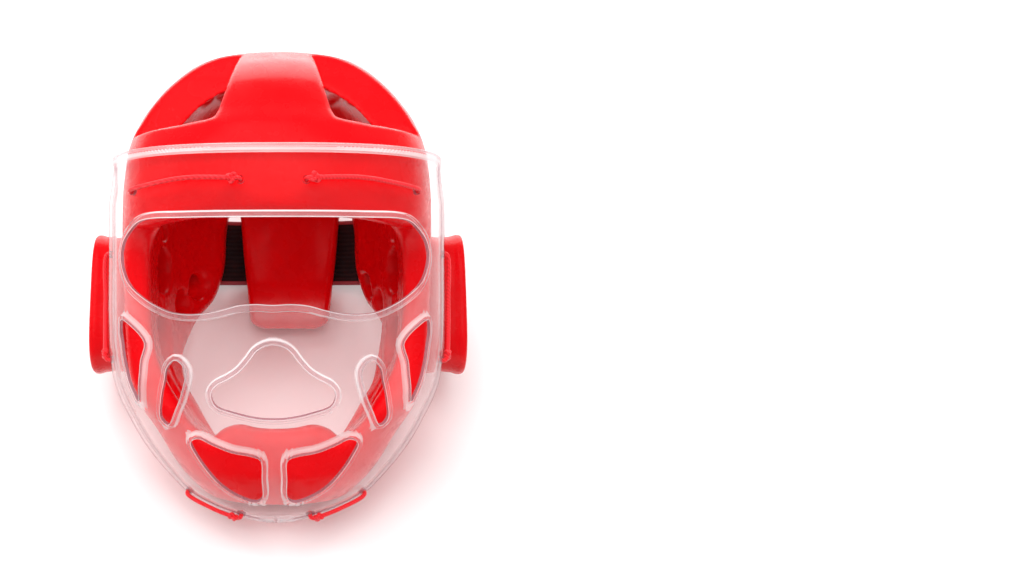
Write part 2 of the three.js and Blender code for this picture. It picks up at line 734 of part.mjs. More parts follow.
function makeFoam() {
  const outside = foamForm(0, FORM_TURNS, FORM_ROWS);
  const inside = foamForm(-FOAM_WALL, HOLLOW_TURNS, HOLLOW_ROWS);
  const shell = outside
    .subtract(inside)
    .subtract(faceCutter())
    .subtract(browVentCutter())
    .subtract(napeVentCutter())
    .subtract(neckCutter())
    .subtract(crownVentCutter());
  const sides = shell.subtract(ventCutters()).subtract(strapSlots());
  const ear = sides.intersect(earRegion()).intersect(leftHalf());
  const wing = sides
    .intersect(wingRegion())
    .subtract(napeBandRegion(SEAM))
    .subtract(napeGapCutter())
    .intersect(leftHalf());
  return {
    brow_band: sides.intersect(browRegion()),
    crown: shell.intersect(crownRegion()),
    ear_panel_left: ear,
    ear_panel_right: mirrored(ear),
    rear_wing_left: wing,
    rear_wing_right: mirrored(wing),
    nape_band: shell.intersect(wingRegion()).intersect(napeBandRegion(0)),
    nape_pad: napePad(),
    chin_guard: sides.intersect(chinRegion()).subtract(tableCutter()),
  };
}

// The ear pod's outline, with a nearly straight front edge: along the pod and across it
const POD_OUTLINE_SQUARE = 2.35;
const POD_RINGS = [
  { rise: -0.4, spread: 0.97 },
  { rise: 0.1, spread: 0.95 },
  { rise: 0.45, spread: 0.9 },
  { rise: 0.75, spread: 0.92 },
  { rise: 0.9, spread: 1.0 },
  { rise: 0.97, spread: 1.0 },
  { rise: 1.0, spread: 0.965 },
];

function podPoint(angle, spread) {
  const along = (POD_LENGTH / 2) * signedPower(Math.cos(angle), 2 / POD_OUTLINE_SQUARE);
  const rear = Math.sin(angle) > 0;
  const width = (rear ? 0.54 : 0.46) * POD_WIDTH;
  const waist = rear ? 0 : 0.06 * POD_WIDTH * Math.sin(angle) ** 6;
  const across = width * signedPower(Math.sin(angle), 2 / POD_OUTLINE_SQUARE) + waist;
  return new THREE.Vector2(across * spread, along * spread);
}

function earPod() {
  const base = TEMPLE_HALF - 1;
  const sides = 24;
  const rings = POD_RINGS.map(({ rise, spread }) => {
    const x = base + rise * (POD_RISE + 1);
    const ring = [];
    for (let k = 0; k < sides; k += 1) {
      const point = podPoint((2 * Math.PI * k) / sides, spread);
      point.rotateAround(new THREE.Vector2(0, 0), -POD_LEAN);
      ring.push(new THREE.Vector3(x, POD_CENTRE_Y + point.x, POD_CENTRE_Z + point.y));
    }
    return ring.reverse();
  });
  let pod = toSolid(loftRings(rings));
  EAR_HOLES.map(earHoleCentre).forEach(({ y, z }) => {
    const near = new THREE.Vector3(0.5 * TEMPLE_HALF, y, z);
    const far = new THREE.Vector3(1.6 * TEMPLE_HALF, y, z);
    pod = pod.subtract(drill(near, far, EAR_HOLE_DIAMETER, EAR_HOLE_SIDES));
  });
  return pod.subtract(foamForm(TOUCH, FORM_TURNS, FORM_ROWS));
}

const shieldHeight = (level) => level * (level >= 0 ? SHIELD_TOP_LEVEL : SHIELD_DROP);

// The shield's section at a height, on the middle of its thickness. Towards its top edge it
// turns in until it rests on the brow.
function shieldSection(z) {
  const level = z >= 0 ? z / SHIELD_TOP_LEVEL : z / SHIELD_DROP;
  const column = (name) => smoothColumn(SHIELD_SECTIONS, name, level);
  const front = -column("front") * SHIELD_REACH;
  const seat = foamSection(z, 0).front - SHIELD_STAND - SHIELD_THICKNESS / 2;
  const rise = Math.max(z - BROW_EDGE_LEVEL, 0) / (SHIELD_TOP_LEVEL - BROW_EDGE_LEVEL);
  return {
    front: THREE.MathUtils.lerp(front, seat, rise ** 8),
    edge: -column("edge") * SHIELD_REACH,
    half: column("half") * SHIELD_HALF,
  };
}

// A point of the shield by its angle from the front and its height, pushed out by a depth
function shieldPoint(angle, z, depth) {
  const section = shieldSection(z);
  const x = section.half * signedPower(Math.sin(angle), 2 / SHIELD_SQUARE);
  const y = section.edge - (section.edge - section.front) * signedPower(Math.cos(angle), 2 / SHIELD_SQUARE);
  const point = new THREE.Vector3(x, y, z);
  return point.addScaledVector(shieldNormal(point), depth);
}

function shieldSlack(x, y, z) {
  const section = shieldSection(z);
  const across = Math.abs(x / section.half) ** SHIELD_SQUARE;
  const along = Math.max((section.edge - y) / (section.edge - section.front), 0) ** SHIELD_SQUARE;
  return across + along;
}

function shieldNormal({ x, y, z }) {
  const step = 0.5;
  const slope = (dx, dy, dz) => shieldSlack(x + dx, y + dy, z + dz) - shieldSlack(x - dx, y - dy, z - dz);
  return new THREE.Vector3(slope(step, 0, 0), slope(0, step, 0), slope(0, 0, step)).normalize();
}

// The angle at which the shield has a share of its half width at a height
function shieldAngle(side, z) {
  const share = (side * SHIELD_HALF) / shieldSection(z).half;
  return Math.asin(signedPower(THREE.MathUtils.clamp(share, -1, 1), SHIELD_SQUARE / 2));
}

// The shield is cut flat, with the angle laid out as a length, and then bent to its form.
// A slight bow keeps the rows of its sheet apart until it is bent.
const BOW = 0.0008;
const bow = (a, z) => BOW * (a * a + z * z);

// The rows of the sheet lie closer together towards its strongly curved bottom
const SHIELD_ROW_EASE = 1.3;

function flatSheet(columns, rows) {
  const points = [];
  const triangles = [];
  const half = (Math.PI / 2) * SHIELD_HALF;
  const across = columns + 1;
  const layer = across * (rows + 1);
  [-0.5, 0.5].forEach((face) => {
    for (let row = 0; row <= rows; row += 1) {
      for (let column = 0; column <= columns; column += 1) {
        const a = -half + (2 * half * column) / columns;
        const z = -SHIELD_DROP + (SHIELD_TOP_LEVEL + SHIELD_DROP) * (row / rows) ** SHIELD_ROW_EASE;
        points.push(new THREE.Vector3(a, z, face * SHIELD_THICKNESS + bow(a, z)));
      }
    }
  });
  for (let row = 0; row < rows; row += 1) {
    for (let column = 0; column < columns; column += 1) {
      const a = row * across + column;
      const b = a + 1;
      const c = a + across;
      const d = c + 1;
      triangles.push(a, d, b, a, c, d);
      triangles.push(layer + a, layer + b, layer + d, layer + a, layer + d, layer + c);
    }
  }
  const rim = [];
  for (let column = 0; column < columns; column += 1) rim.push(column);
  for (let row = 0; row < rows; row += 1) rim.push(row * across + columns);
  for (let column = columns; column > 0; column -= 1) rim.push(rows * across + column);
  for (let row = rows; row > 0; row -= 1) rim.push(row * across);
  rim.forEach((a, k) => {
    const b = rim[(k + 1) % rim.length];
    triangles.push(a, b, layer + b, a, layer + b, layer + a);
  });
  return toSolid(meshFrom(points, triangles));
}

function flatOutline(table, mirror, steps) {
  const points = table.map(({ side, level }) => {
    const z = shieldHeight(level);
    return new THREE.Vector3(mirror * shieldAngle(side, z) * SHIELD_HALF, z, 0);
  });
  const curve = new THREE.CatmullRomCurve3(points, true, "centripetal");
  const outline = curve.getPoints(steps).slice(0, -1);
  return outline.map((point) => [point.x, point.y]);
}

function wholeOutline(table) {
  const other = table.slice(1, -1).map(({ side, level }) => ({ side: -side, level }));
  return [...table, ...other.reverse()];
}

function flatCut(outline) {
  return prism(outline, "z", -2 * SHIELD_THICKNESS, bow(2 * SHIELD_HALF, SHIELD_DROP) + SHIELD_THICKNESS);
}

function flatCorner(mirror) {
  const edge = (Math.PI / 2) * SHIELD_HALF;
  const outline = [[mirror * (edge + 5), SHIELD_TOP_LEVEL + 5]];
  outline.push([mirror * (edge + 5), SHIELD_TOP_LEVEL - SHIELD_CORNER]);
  for (let k = 0; k <= 8; k += 1) {
    const turn = (Math.PI / 2) * (k / 8);
    outline.push([
      mirror * (edge - SHIELD_CORNER * (1 - Math.cos(turn))),
      SHIELD_TOP_LEVEL - SHIELD_CORNER * (1 - Math.sin(turn)),
    ]);
  }
  outline.push([mirror * (edge - SHIELD_CORNER), SHIELD_TOP_LEVEL + 5]);
  return flatCut(outline);
}

// A round hole for a lace, widened where bending draws the flat sheet in
function flatHole(mirror, side, level) {
  const z = shieldHeight(level);
  const angle = mirror * shieldAngle(side, z);
  const nudge = 0.01;
  const rise = 1;
  const across = shieldPoint(angle + nudge, z, 0).distanceTo(shieldPoint(angle - nudge, z, 0));
  const along = shieldPoint(angle, z + rise, 0).distanceTo(shieldPoint(angle, z - rise, 0));
  const radius = LACE_HOLE_DIAMETER / 2;
  const ring = [];
  for (let k = 0; k < 6; k += 1) {
    const turn = (Math.PI / 3) * k;
    const a = angle * SHIELD_HALF + (radius * Math.cos(turn) * 2 * nudge * SHIELD_HALF) / across;
    ring.push([a, z + (radius * Math.sin(turn) * 2 * rise) / along]);
  }
  return flatCut(ring);
}

function laceEnds() {
  return [BROW_LACE, CHIN_LACE, CHEEK_LACE].flatMap((lace) => [lace[0], lace[lace.length - 1]]);
}

function makeShield() {
  let sheet = flatSheet(24, 17);
  sheet = sheet.subtract(flatCut(flatOutline(wholeOutline(EYE_OUTLINE), 1, 40)));
  sheet = sheet.subtract(flatCut(flatOutline(wholeOutline(NOSE_OUTLINE), 1, 22)));
  [-1, 1].forEach((mirror) => {
    sheet = sheet.subtract(flatCut(flatOutline(CHEEK_OUTLINE, mirror, 14)));
    sheet = sheet.subtract(flatCut(flatOutline(SLOT_OUTLINE, mirror, 12)));
    sheet = sheet.subtract(flatCut(flatOutline(CHIN_OUTLINE, mirror, 18)));
    sheet = sheet.subtract(flatCorner(mirror));
    laceEnds().forEach(({ side, level }) => {
      sheet = sheet.subtract(flatHole(mirror, side, level));
    });
  });
  const geometry = toGeometry(sheet);
  const position = geometry.attributes.position;
  for (let k = 0; k < position.count; k += 1) {
    const a = position.getX(k);
    const z = position.getY(k);
    const depth = position.getZ(k) - bow(a, z);
    const point = shieldPoint(a / SHIELD_HALF, z, depth);
    position.setXYZ(k, point.x, point.y, point.z);
  }
  geometry.computeVertexNormals();
  return geometry;
}

// A lace lies on the shield's outer face and goes in through a hole at each end, with a knot
function makeLace(table, mirror) {
  const radius = LACE_DIAMETER / 2;
  const over = SHIELD_THICKNESS / 2 + LYING_EASE + radius;
  const at = ({ side, level }, depth) => {
    const z = shieldHeight(level);
    return shieldPoint(mirror * shieldAngle(side, z), z, depth);
  };
  const first = table[0];
  const last = table[table.length - 1];
  const inward = -SHIELD_THICKNESS / 2 - 1.5;
  const path = new THREE.CatmullRomCurve3(table.map((row) => at(row, over)), false, "centripetal");
  const section = new THREE.Shape();
  section.absarc(0, 0, radius, 0, 2 * Math.PI, false);
  const options = { steps: 8, bevelEnabled: false, extrudePath: path, curveSegments: 4 };
  let lace = toSolid(new THREE.ExtrudeGeometry(section, options));
  [first, last].forEach((row) => {
    const knot = new THREE.SphereGeometry(1.9 * radius, 6, 4);
    const centre = at(row, over + 0.5 * radius);
    knot.translate(centre.x, centre.y, centre.z);
    lace = lace.add(toSolid(knot)).add(drill(at(row, inward), at(row, over), LACE_DIAMETER, 6));
  });
  return toGeometry(lace);
}

// The strap follows the foam round the back, and each end turns in through its slot
function makeStrap() {
  const rows = 4;
  const turns = 22;
  const lift = LYING_EASE + STRAP_THICKNESS / 2;
  const middleLines = [];
  for (let row = 0; row <= rows; row += 1) {
    const z = STRAP_LOW_LEVEL + (STRAP_WIDTH * row) / rows;
    const section = foamSection(z, lift);
    const corner = (STRAP_SLOT_Y - section.middle) / (section.back - section.middle);
    const start = Math.acos(corner ** (section.squareBack / 2));
    const line = [];
    for (let k = 0; k <= turns; k += 1) {
      const angle = Math.PI - start + (2 * start * k) / turns;
      const point = foamPoint(z, angle, lift);
      line.push(new THREE.Vector3(point.x, point.y, z));
    }
    const head = line[0].clone();
    const tail = line[turns].clone();
    line.unshift(new THREE.Vector3(head.x - Math.sign(head.x) * STRAP_TAB, STRAP_SLOT_Y, z));
    line.push(new THREE.Vector3(tail.x - Math.sign(tail.x) * STRAP_TAB, STRAP_SLOT_Y, z));
    middleLines.push(line);
  }
  const rings = middleLines.map((line) => {
    const outer = [];
    const inner = [];
    line.forEach((point, k) => {
      const before = line[Math.max(k - 1, 0)];
      const after = line[Math.min(k + 1, line.length - 1)];
      const into = point.clone().sub(before);
      const out = after.clone().sub(point);
      if (into.length() === 0) into.copy(out);
      if (out.length() === 0) out.copy(into);
      const normalIn = new THREE.Vector3(into.y, -into.x, 0).normalize();
      const normalOut = new THREE.Vector3(out.y, -out.x, 0).normalize();
      const mitre = normalIn.clone().add(normalOut).normalize();
      const reach = STRAP_THICKNESS / 2 / Math.max(mitre.dot(normalIn), 0.5);
      outer.push(point.clone().addScaledVector(mitre, reach));
      inner.push(point.clone().addScaledVector(mitre, -reach));
    });
    return [...outer, ...inner.reverse()];
  });
  return loftStrip(rings);
}

// A closed solid through rings that double back on themselves, its ends capped in quads
function loftStrip(rings) {
  const around = rings[0].length;
  const triangles = [];
  for (let ring = 0; ring < rings.length - 1; ring += 1) {
    for (let k = 0; k < around; k += 1) {
      const next = (k + 1) % around;
      const a = ring * around + k;
      const b = ring * around + next;
      triangles.push(a, b, a + around, b, b + around, a + around);
    }
  }
  const top = (rings.length - 1) * around;
  for (let k = 0; k < around / 2 - 1; k += 1) {
    const a = k;
    const b = k + 1;
    const c = around - 2 - k;
    const d = around - 1 - k;
    triangles.push(a, d, c, a, c, b);
    triangles.push(top + a, top + c, top + d, top + a, top + b, top + c);
  }
  return meshFrom(rings.flat(), triangles);
}

function named(name, geometry, look) {
  const mesh = new THREE.Mesh(geometry, new THREE.MeshStandardMaterial(look));
  mesh.name = name;
  return mesh;
}

const worn = new THREE.Group();
Object.entries(makeFoam()).forEach(([name, solid]) => worn.add(named(name, toGeometry(solid), COLOURS.foam)));
const pod = earPod();
worn.add(named("ear_pod_left", toGeometry(pod), COLOURS.pod));
worn.add(named("ear_pod_right", toGeometry(mirrored(pod)), COLOURS.pod));
worn.add(named("face_shield", makeShield(), COLOURS.shield));
worn.add(named("rear_strap", makeStrap(), COLOURS.strap));
const LACES = { brow: BROW_LACE, chin: CHIN_LACE, cheek: CHEEK_LACE };
Object.entries(LACES).forEach(([place, table]) => {
  worn.add(named(`${place}_lace_left`, makeLace(table, 1), COLOURS.lace));
  worn.add(named(`${place}_lace_right`, makeLace(table, -1), COLOURS.lace));
});

// Leant back on its chin and strap, with the middle of its footprint at the origin
const leant = new THREE.Group();
worn.rotation.x = -REST_LEAN;
leant.add(worn);
leant.updateMatrixWorld(true);
const box = new THREE.Box3().setFromObject(leant, true);
leant.position.set(-(box.min.x + box.max.x) / 2, -(box.min.y + box.max.y) / 2, -box.min.z);

const headgear = new THREE.Group();
headgear.add(leant);
export default headgear;
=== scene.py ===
import math

import bpy
import numpy as np
from mathutils import Matrix, Vector
from mathutils.geometry import delaunay_2d_cdt
from mathutils.kdtree import KDTree


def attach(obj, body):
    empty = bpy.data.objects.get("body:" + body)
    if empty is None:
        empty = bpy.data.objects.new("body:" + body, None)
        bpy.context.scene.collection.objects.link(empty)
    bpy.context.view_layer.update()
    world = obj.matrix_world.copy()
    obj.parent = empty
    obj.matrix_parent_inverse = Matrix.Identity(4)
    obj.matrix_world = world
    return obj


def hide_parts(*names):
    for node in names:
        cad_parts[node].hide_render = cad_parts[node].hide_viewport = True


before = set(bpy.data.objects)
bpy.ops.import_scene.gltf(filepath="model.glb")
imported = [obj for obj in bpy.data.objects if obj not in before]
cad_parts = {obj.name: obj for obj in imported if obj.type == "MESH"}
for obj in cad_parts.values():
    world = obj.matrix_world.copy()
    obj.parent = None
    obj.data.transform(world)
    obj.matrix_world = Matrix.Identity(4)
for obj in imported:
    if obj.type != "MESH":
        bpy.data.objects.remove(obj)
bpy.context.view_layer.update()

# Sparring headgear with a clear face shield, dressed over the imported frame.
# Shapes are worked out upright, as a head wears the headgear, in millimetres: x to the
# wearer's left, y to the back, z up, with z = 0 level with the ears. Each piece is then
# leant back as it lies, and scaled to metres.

MM = 0.001

# Sizes of the foam
CROWN_RISE = 151
CHIN_DROP = 145
BROW_REACH = 107
NAPE_REACH = 128
TEMPLE_HALF = 98
FOAM_WALL = 20
CROWN_WALL = 16
SLOT_DEPTH = 13
BROW_EDGE_LEVEL = 31
BAND_TOP_LEVEL = 95
BAND_TOP_FALL = 5.5
NAPE_TOP_LEVEL = 93
LIP_EDGE_LEVEL = -91
NAPE_SEAM_LEVEL = 66
CHIN_SEAM_LEVEL = -0.585 * CHIN_DROP
WING_SEAM_Y = 0.34 * NAPE_REACH
NAPE_BAND_HALF = 0.48 * TEMPLE_HALF
REST_LEAN = math.radians(49.3)

# The nape pad hangs a little to one side, and runs up into the nape band
NAPE_SHIFT = 7
PAD_OVERLAP = 8

# How far from the middle the holes and the creases of the sides begin
HOLE_START = 40
CREASE_START = 45
CREASE_FADE = 10

# Sizes of the ear pods
EAR_HOLE_DIAMETER = 31
POD_LENGTH = 95
POD_WIDTH = 63
POD_RISE = 26
POD_CENTRE = (11, -15.5)
POD_LEAN = math.radians(12)
POD_SQUARE = 2.35
POD_RIM_ROUND = 2.4
POD_HOLE_ROUND = 3
POD_HOLE_DIAMETER = 29

# Sizes of the face shield: its form, then the raised rims along its edges
SHIELD_THICKNESS = 2
SHEET_TOP = 75.6
SHIELD_TOP_LEVEL = 77
SHIELD_DROP = 149
SHIELD_REACH = BROW_REACH + 25
SHIELD_HALF = TEMPLE_HALF + 7.5
SHIELD_CORNER = 22
SHIELD_STAND = 1.2
SHIELD_SQUARE = 2.6
SHEET_SINK = 0.7
EYE_RIM = 3.4
OTHER_RIM = 2.6
STEP_HEIGHT = 1.3
STEP_RUN = 0.8

# Sizes of the strap and of the laces
STRAP_WIDTH = 50
STRAP_THICKNESS = 2.5
STRAP_LOW_LEVEL = -2
STRAP_SLOT_Y = 73
STRAP_TAB = 13
STRAP_EASE = 1.2
SELVEDGE = 3.5
SELVEDGE_ROUND = 1.2
LACE_RADIUS = 1.3
LACE_HOLE_RADIUS = 2.3
LACE_GAP = 0.15
LACE_DIVE = 2.5
LACE_BEND = 1.6
KNOT_SIZE = 2.6
KNOT_LIFT = 0.6
KNOT_SETBACK = 4.5
KNOT_RUN_OUT = 2.2

# How far cut edges of the foam are rounded
CAP_ROUND = 8
FACE_ROUND = 9
VENT_ROUND = 2.2
NECK_ROUND = 9
NAPE_ROUND = 8
HOLE_ROUND = 4
PAD_ROUND = 7
SLOT_ROUND = 1.5

# How finely the forms are meshed. Rings of points lie along each edge of the shield, and others
# round each lace hole.
FOAM_STEP = 1.7
POD_STEP = 1.2
SHIELD_SPACING = 2.3
SHIELD_GRID = 4.0
GRID_MARGIN = 8
POD_GRID = ((-36, 58), (-78, 42))
RIM_RINGS = (0.5, 1.2, 2.0, 2.6, 3.1, 3.6, 4.1, 4.8)
HOLE_RINGS = (0.5, 1.1)
GRID_CLEARANCE = 5.6

# The clear sheet is hazy below the first level and nearly clear above the second. Each of its looks
# has a clearness, a veil's strength and tint, a blur, and the share of the veil left over the brow:
# the flat sheet; the steps and edges, under a white veil that is a painted highlight; the walls of the
# cuts, darkened to grey-pink as painted shade; and the raised rims.
HAZE_LEVELS = (4, 32)
# Grey-pink that the light let through turns to where the sheet is seen edge-on: painted shade along its
# silhouettes
OUTLINE_SHADE_TINT = (0.62, 0.45, 0.48)
SHEET_LOOKS = (
    ("clear_sheet", (0.98, 0.95, 0.95), 0.075, (0.98, 0.88, 0.89), 0.04, 0.04),
    ("clear_sheet_edge_highlight", (0.96, 0.93, 0.94), 0.4, (1.0, 0.97, 0.97), 0.08, 1.4),
    ("clear_sheet_cut_shade", (0.6, 0.4, 0.44), 0.35, (0.45, 0.22, 0.26), 0.08, 1.0),
    ("clear_sheet_rim", (0.94, 0.86, 0.87), 0.12, (1.0, 0.84, 0.86), 0.06, 0.9),
)
FLAT_LOOK, HIGHLIGHT_LOOK, CUT_SHADE_LOOK, RIM_LOOK = range(4)

# The photo's camera, from the upright headgear, and the lamps: place in millimetres, size in
# metres, power in watts and whether the headgear mirrors them
EYE_DISTANCE = 700
EYE_LEVEL = -8
EYE_TURN = math.radians(1.2)
LENS = 37.03
LENS_SHIFT = 0.2264
LAMPS = (
    ("top_box", (0, 480, 1000), (1.4, 0.9), 11, True),
    ("front_box", (-150, -1200, 780), (1.5, 1.1), 27, False),
    ("left_box", (1200, -250, 200), (0.4, 1.3), 4, False),
    ("right_box", (-1200, -250, 200), (0.4, 1.3), 4, False),
)
STUDIO_TINT = (1, 0.985, 0.985, 1)
STUDIO_STRENGTH = 0.35
FLOOR_REACH = 8


def table(columns, *rows):
    """Rows of numbers as one array for each named column"""
    return dict(zip(columns.split(), np.array(rows, float).T))


# Sections of the foam, from the top down. Levels are shares of the rise or the drop, front
# and back of the brow and nape reach, half and middle of the temple half width.
FOAM_SECTIONS = table(
    "level front back half middle square_front square_back",
    (1.0, 0.12, 0.58, 0.3, 0.3, 2.2, 2.2),
    (0.98, 0.25, 0.63, 0.46, 0.25, 2.2, 2.3),
    (0.95, 0.39, 0.68, 0.57, 0.2, 2.15, 2.3),
    (0.87, 0.63, 0.745, 0.71, 0.12, 2.1, 2.3),
    (0.78, 0.785, 0.85, 0.82, 0.02, 2.1, 2.3),
    (0.67, 0.89, 0.965, 0.92, -0.06, 2.15, 2.3),
    (0.585, 0.963, 1.0, 0.96, -0.12, 2.4, 2.3),
    (0.49, 1.0, 0.99, 0.985, -0.15, 2.6, 2.3),
    (0.33, 1.0, 0.969, 1.0, -0.15, 2.85, 2.3),
    (0.19, 0.985, 0.93, 1.0, -0.15, 3.0, 2.3),
    (0.0, 1.0, 0.867, 0.995, -0.15, 3.0, 2.4),
    (-0.14, 0.99, 0.86, 0.99, -0.15, 3.0, 2.5),
    (-0.28, 0.96, 0.83, 0.98, -0.15, 3.0, 2.6),
    (-0.41, 0.88, 0.8, 0.96, -0.15, 3.0, 2.6),
    (-0.54, 0.73, 0.75, 0.9, -0.15, 3.0, 2.6),
    (-0.67, 0.59, 0.7, 0.785, -0.14, 2.9, 2.6),
    (-0.82, 0.575, 0.62, 0.65, -0.12, 2.7, 2.5),
    (-0.92, 0.5, 0.52, 0.52, -0.1, 2.5, 2.4),
    (-0.975, 0.4, 0.42, 0.42, -0.05, 2.4, 2.3),
    (-1.0, 0.31, 0.33, 0.34, 0.0, 2.3, 2.2),
)

# Sections of the shield, from the top down, as shares of its reach and half width
SHIELD_SECTIONS = table(
    "level front half edge",
    (1.0, 0.875, 0.97, 0.165),
    (0.77, 0.914, 0.985, 0.165),
    (0.6, 0.932, 1.0, 0.165),
    (0.47, 0.935, 1.0, 0.165),
    (0.0, 0.977, 1.0, 0.165),
    (-0.108, 1.0, 1.0, 0.165),
    (-0.255, 0.955, 1.0, 0.165),
    (-0.4, 0.945, 0.975, 0.165),
    (-0.47, 0.93, 0.945, 0.167),
    (-0.56, 0.885, 0.885, 0.17),
    (-0.67, 0.81, 0.8, 0.175),
    (-0.81, 0.69, 0.645, 0.2),
    (-0.9, 0.58, 0.505, 0.26),
    (-0.955, 0.515, 0.34, 0.3),
    (-0.985, 0.44, 0.19, 0.33),
    (-1.0, 0.4, 0.07, 0.36),
)

# Outlines of the shield's openings seen from the front: side is a share of the shield's half
# width, level of its drop
EYE_OUTLINE = table(
    "side level",
    (0.0, 0.44), (0.49, 0.44), (0.665, 0.44), (0.73, 0.42), (0.78, 0.36), (0.823, 0.275),
    (0.837, 0.169), (0.815, 0.047), (0.775, -0.023), (0.69, -0.072), (0.61, -0.103),
    (0.53, -0.124), (0.44, -0.131), (0.35, -0.127), (0.27, -0.116), (0.18, -0.1),
    (0.09, -0.095), (0.0, -0.098),
)
NOSE_OUTLINE = table(
    "side level",
    (0.0, -0.244), (0.08, -0.265), (0.125, -0.305), (0.177, -0.346), (0.233, -0.373),
    (0.293, -0.395), (0.321, -0.418), (0.323, -0.441), (0.302, -0.472), (0.205, -0.498),
    (0.093, -0.517), (0.0, -0.522),
)
CHEEK_OUTLINE = table(
    "side level",
    (0.83, -0.157), (0.756, -0.185), (0.703, -0.223), (0.687, -0.247), (0.694, -0.27),
    (0.713, -0.31), (0.722, -0.365), (0.737, -0.471), (0.761, -0.437), (0.79, -0.391),
    (0.816, -0.318), (0.83, -0.252), (0.84, -0.204),
)
SLOT_OUTLINE = table(
    "side level",
    (0.515, -0.305), (0.463, -0.342), (0.485, -0.43), (0.523, -0.495), (0.568, -0.554),
    (0.603, -0.532), (0.599, -0.466), (0.574, -0.383), (0.562, -0.337),
)
CHIN_OUTLINE = table(
    "side level",
    (0.447, -0.622), (0.401, -0.603), (0.334, -0.626), (0.229, -0.657), (0.122, -0.672),
    (0.073, -0.69), (0.07, -0.775), (0.07, -0.856), (0.105, -0.881), (0.206, -0.853),
    (0.296, -0.803), (0.363, -0.742), (0.423, -0.668),
)

# Round vents through the sides: y and level as shares, and the ear holes along the pod
SIDE_VENTS = table(
    "y level diameter",
    (0.207, 0.454, 24),
    (0.568, 0.428, 19),
    (-0.177, 0.432, 20),
    (0.086, 0.238, 17),
    (0.506, -0.021, 19),
    (0.356, -0.108, 20),
    (-0.117, -0.486, 19),
)
EAR_HOLES = table("across along", (0, 0.242), (-0.11, -0.253))
CROWN_VENT = {"y": 0.09 * NAPE_REACH, "x": 0.46 * TEMPLE_HALF, "z": 0.86 * CROWN_RISE, "diameter": 24}

# The face opening from the side and from the front, from the brow down
FACE_REAR_EDGE = table(
    "front level",
    (0.655, 1.0), (0.58, 0.8), (0.52, 0.45), (0.48, -0.07), (0.467, -0.31), (0.49, -0.6),
    (0.53, -0.84), (0.56, -1.0), (0.57, -1.1),
)
FACE_OUTLINE = table(
    "side level",
    (0.0, 1.18), (0.3, 1.16), (0.5, 1.1), (0.63, 1.0), (0.71, 0.85), (0.765, 0.6), (0.785, 0.2),
    (0.785, -0.3), (0.74, -0.54), (0.69, -0.69), (0.62, -0.83), (0.56, -0.95), (0.47, -1.04),
    (0.4, -1.07), (0.34, -1.02), (0.24, -0.985), (0.1, -1.01),
)
LIP_POINTS = 5

# The jaw line seen from the side, and the gap either side of the nape pad seen from behind
JAW_LINE = table(
    "y level",
    (0.78, -0.02), (0.735, -0.08), (0.68, -0.135), (0.575, -0.195), (0.45, -0.285),
    (0.325, -0.385), (0.235, -0.48), (0.155, -0.62), (0.085, -0.75), (0.03, -0.84),
    (-0.015, -0.9), (-0.045, -1.0),
)
NAPE_SLIT = table(
    "inner outer level",
    (0.41, 0.42, 0.443), (0.39, 0.49, 0.3), (0.365, 0.51, 0.067), (0.31, 0.575, -0.083),
    (0.29, 0.68, -0.2), (0.28, 0.72, -0.34),
)
NAPE_PAD = table(
    "level back half",
    (0.48, 0.9935, 0.41), (0.443, 0.9935, 0.41), (0.315, 0.964, 0.385), (0.134, 0.912, 0.36),
    (0.0, 0.867, 0.335), (-0.07, 0.815, 0.322), (-0.14, 0.735, 0.308), (-0.2, 0.65, 0.295),
    (-0.235, 0.59, 0.25),
)
POD_FLANK = table(
    "level inset", (1.0, 0.0), (0.88, 0.0), (0.72, 1.2), (0.45, 1.8), (0.1, 0.6), (-0.4, 0.0)
)

# The vents beside the centre strip: sides as shares of the temple half width, heights above the
# top of the brow band as shares of the crown's rise over it and of the band's fall
BROW_VENT_STRIP = (
    (0.225, 0.87), (0.268, 0.53), (0.3, 0.3), (0.335, 0.08), (0.36, -0.01), (0.41, -0.035)
)
BROW_VENT_FOOT = ((0.58, -0.8), (0.88, -1), (1.3, -1))
BROW_VENT_DROP = 3

# Creases where the moulded panels meet, seen from the side as lines from (y, z) to (y, z)
CREASES = (
    ((2, 95), (74, 95)),
    ((43.5, 86), (43.5, -8)),
    ((-45, 72), (-60, 28)),
)
CREASE_DEPTH = 1.0
CREASE_WIDTH = 1.9
BROW_SEAM = ((-0.62 * BROW_REACH, 0.5 * BROW_EDGE_LEVEL), (-0.3 * BROW_REACH, BAND_TOP_LEVEL))

# Laces, as points on the shield's outer face from the hole to the knot
LACES = {
    "brow": table("side level", (0.78, 0.66), (0.61, 0.7), (0.445, 0.725), (0.175, 0.715)),
    "chin": table("side level", (0.505, -0.868), (0.36, -0.918), (0.2, -0.958)),
    "cheek": table("side level", (0.991, 0.21), (0.992, -0.075), (0.983, -0.24), (0.96, -0.328)),
}


# Numbers and curves

def eased(t):
    return t * t * (3 - 2 * t)


def unit(vectors):
    return vectors / np.maximum(np.linalg.norm(vectors, axis=-1), 1e-9)[..., None]


def powered(value, power):
    """A power that keeps the value's sign"""
    return np.sign(value) * np.abs(value) ** power


def runs(line):
    """How far along a line each of its points lies"""
    return np.concatenate([[0], np.cumsum(np.linalg.norm(np.diff(line, axis=0), axis=1))])


def smooth_column(rows, column, level):
    """A smooth value of one column at levels that fall from row to row"""
    levels = rows["level"][::-1]
    values = rows[column][::-1]
    slopes = np.diff(values) / np.diff(levels)
    before, after = slopes[:-1], slopes[1:]
    rising = before * after > 0
    inner = np.where(rising, 2 * before * after / np.where(rising, before + after, 1), 0)
    tangents = np.concatenate([slopes[:1], inner, slopes[-1:]])
    level = np.clip(level, levels[0], levels[-1])
    row = np.clip(np.searchsorted(levels, level) - 1, 0, len(levels) - 2)
    width = levels[row + 1] - levels[row]
    t = (level - levels[row]) / width
    curl = t * (1 - t) ** 2 * tangents[row] - t * t * (1 - t) * tangents[row + 1]
    return values[row] + (values[row + 1] - values[row]) * eased(t) + width * curl


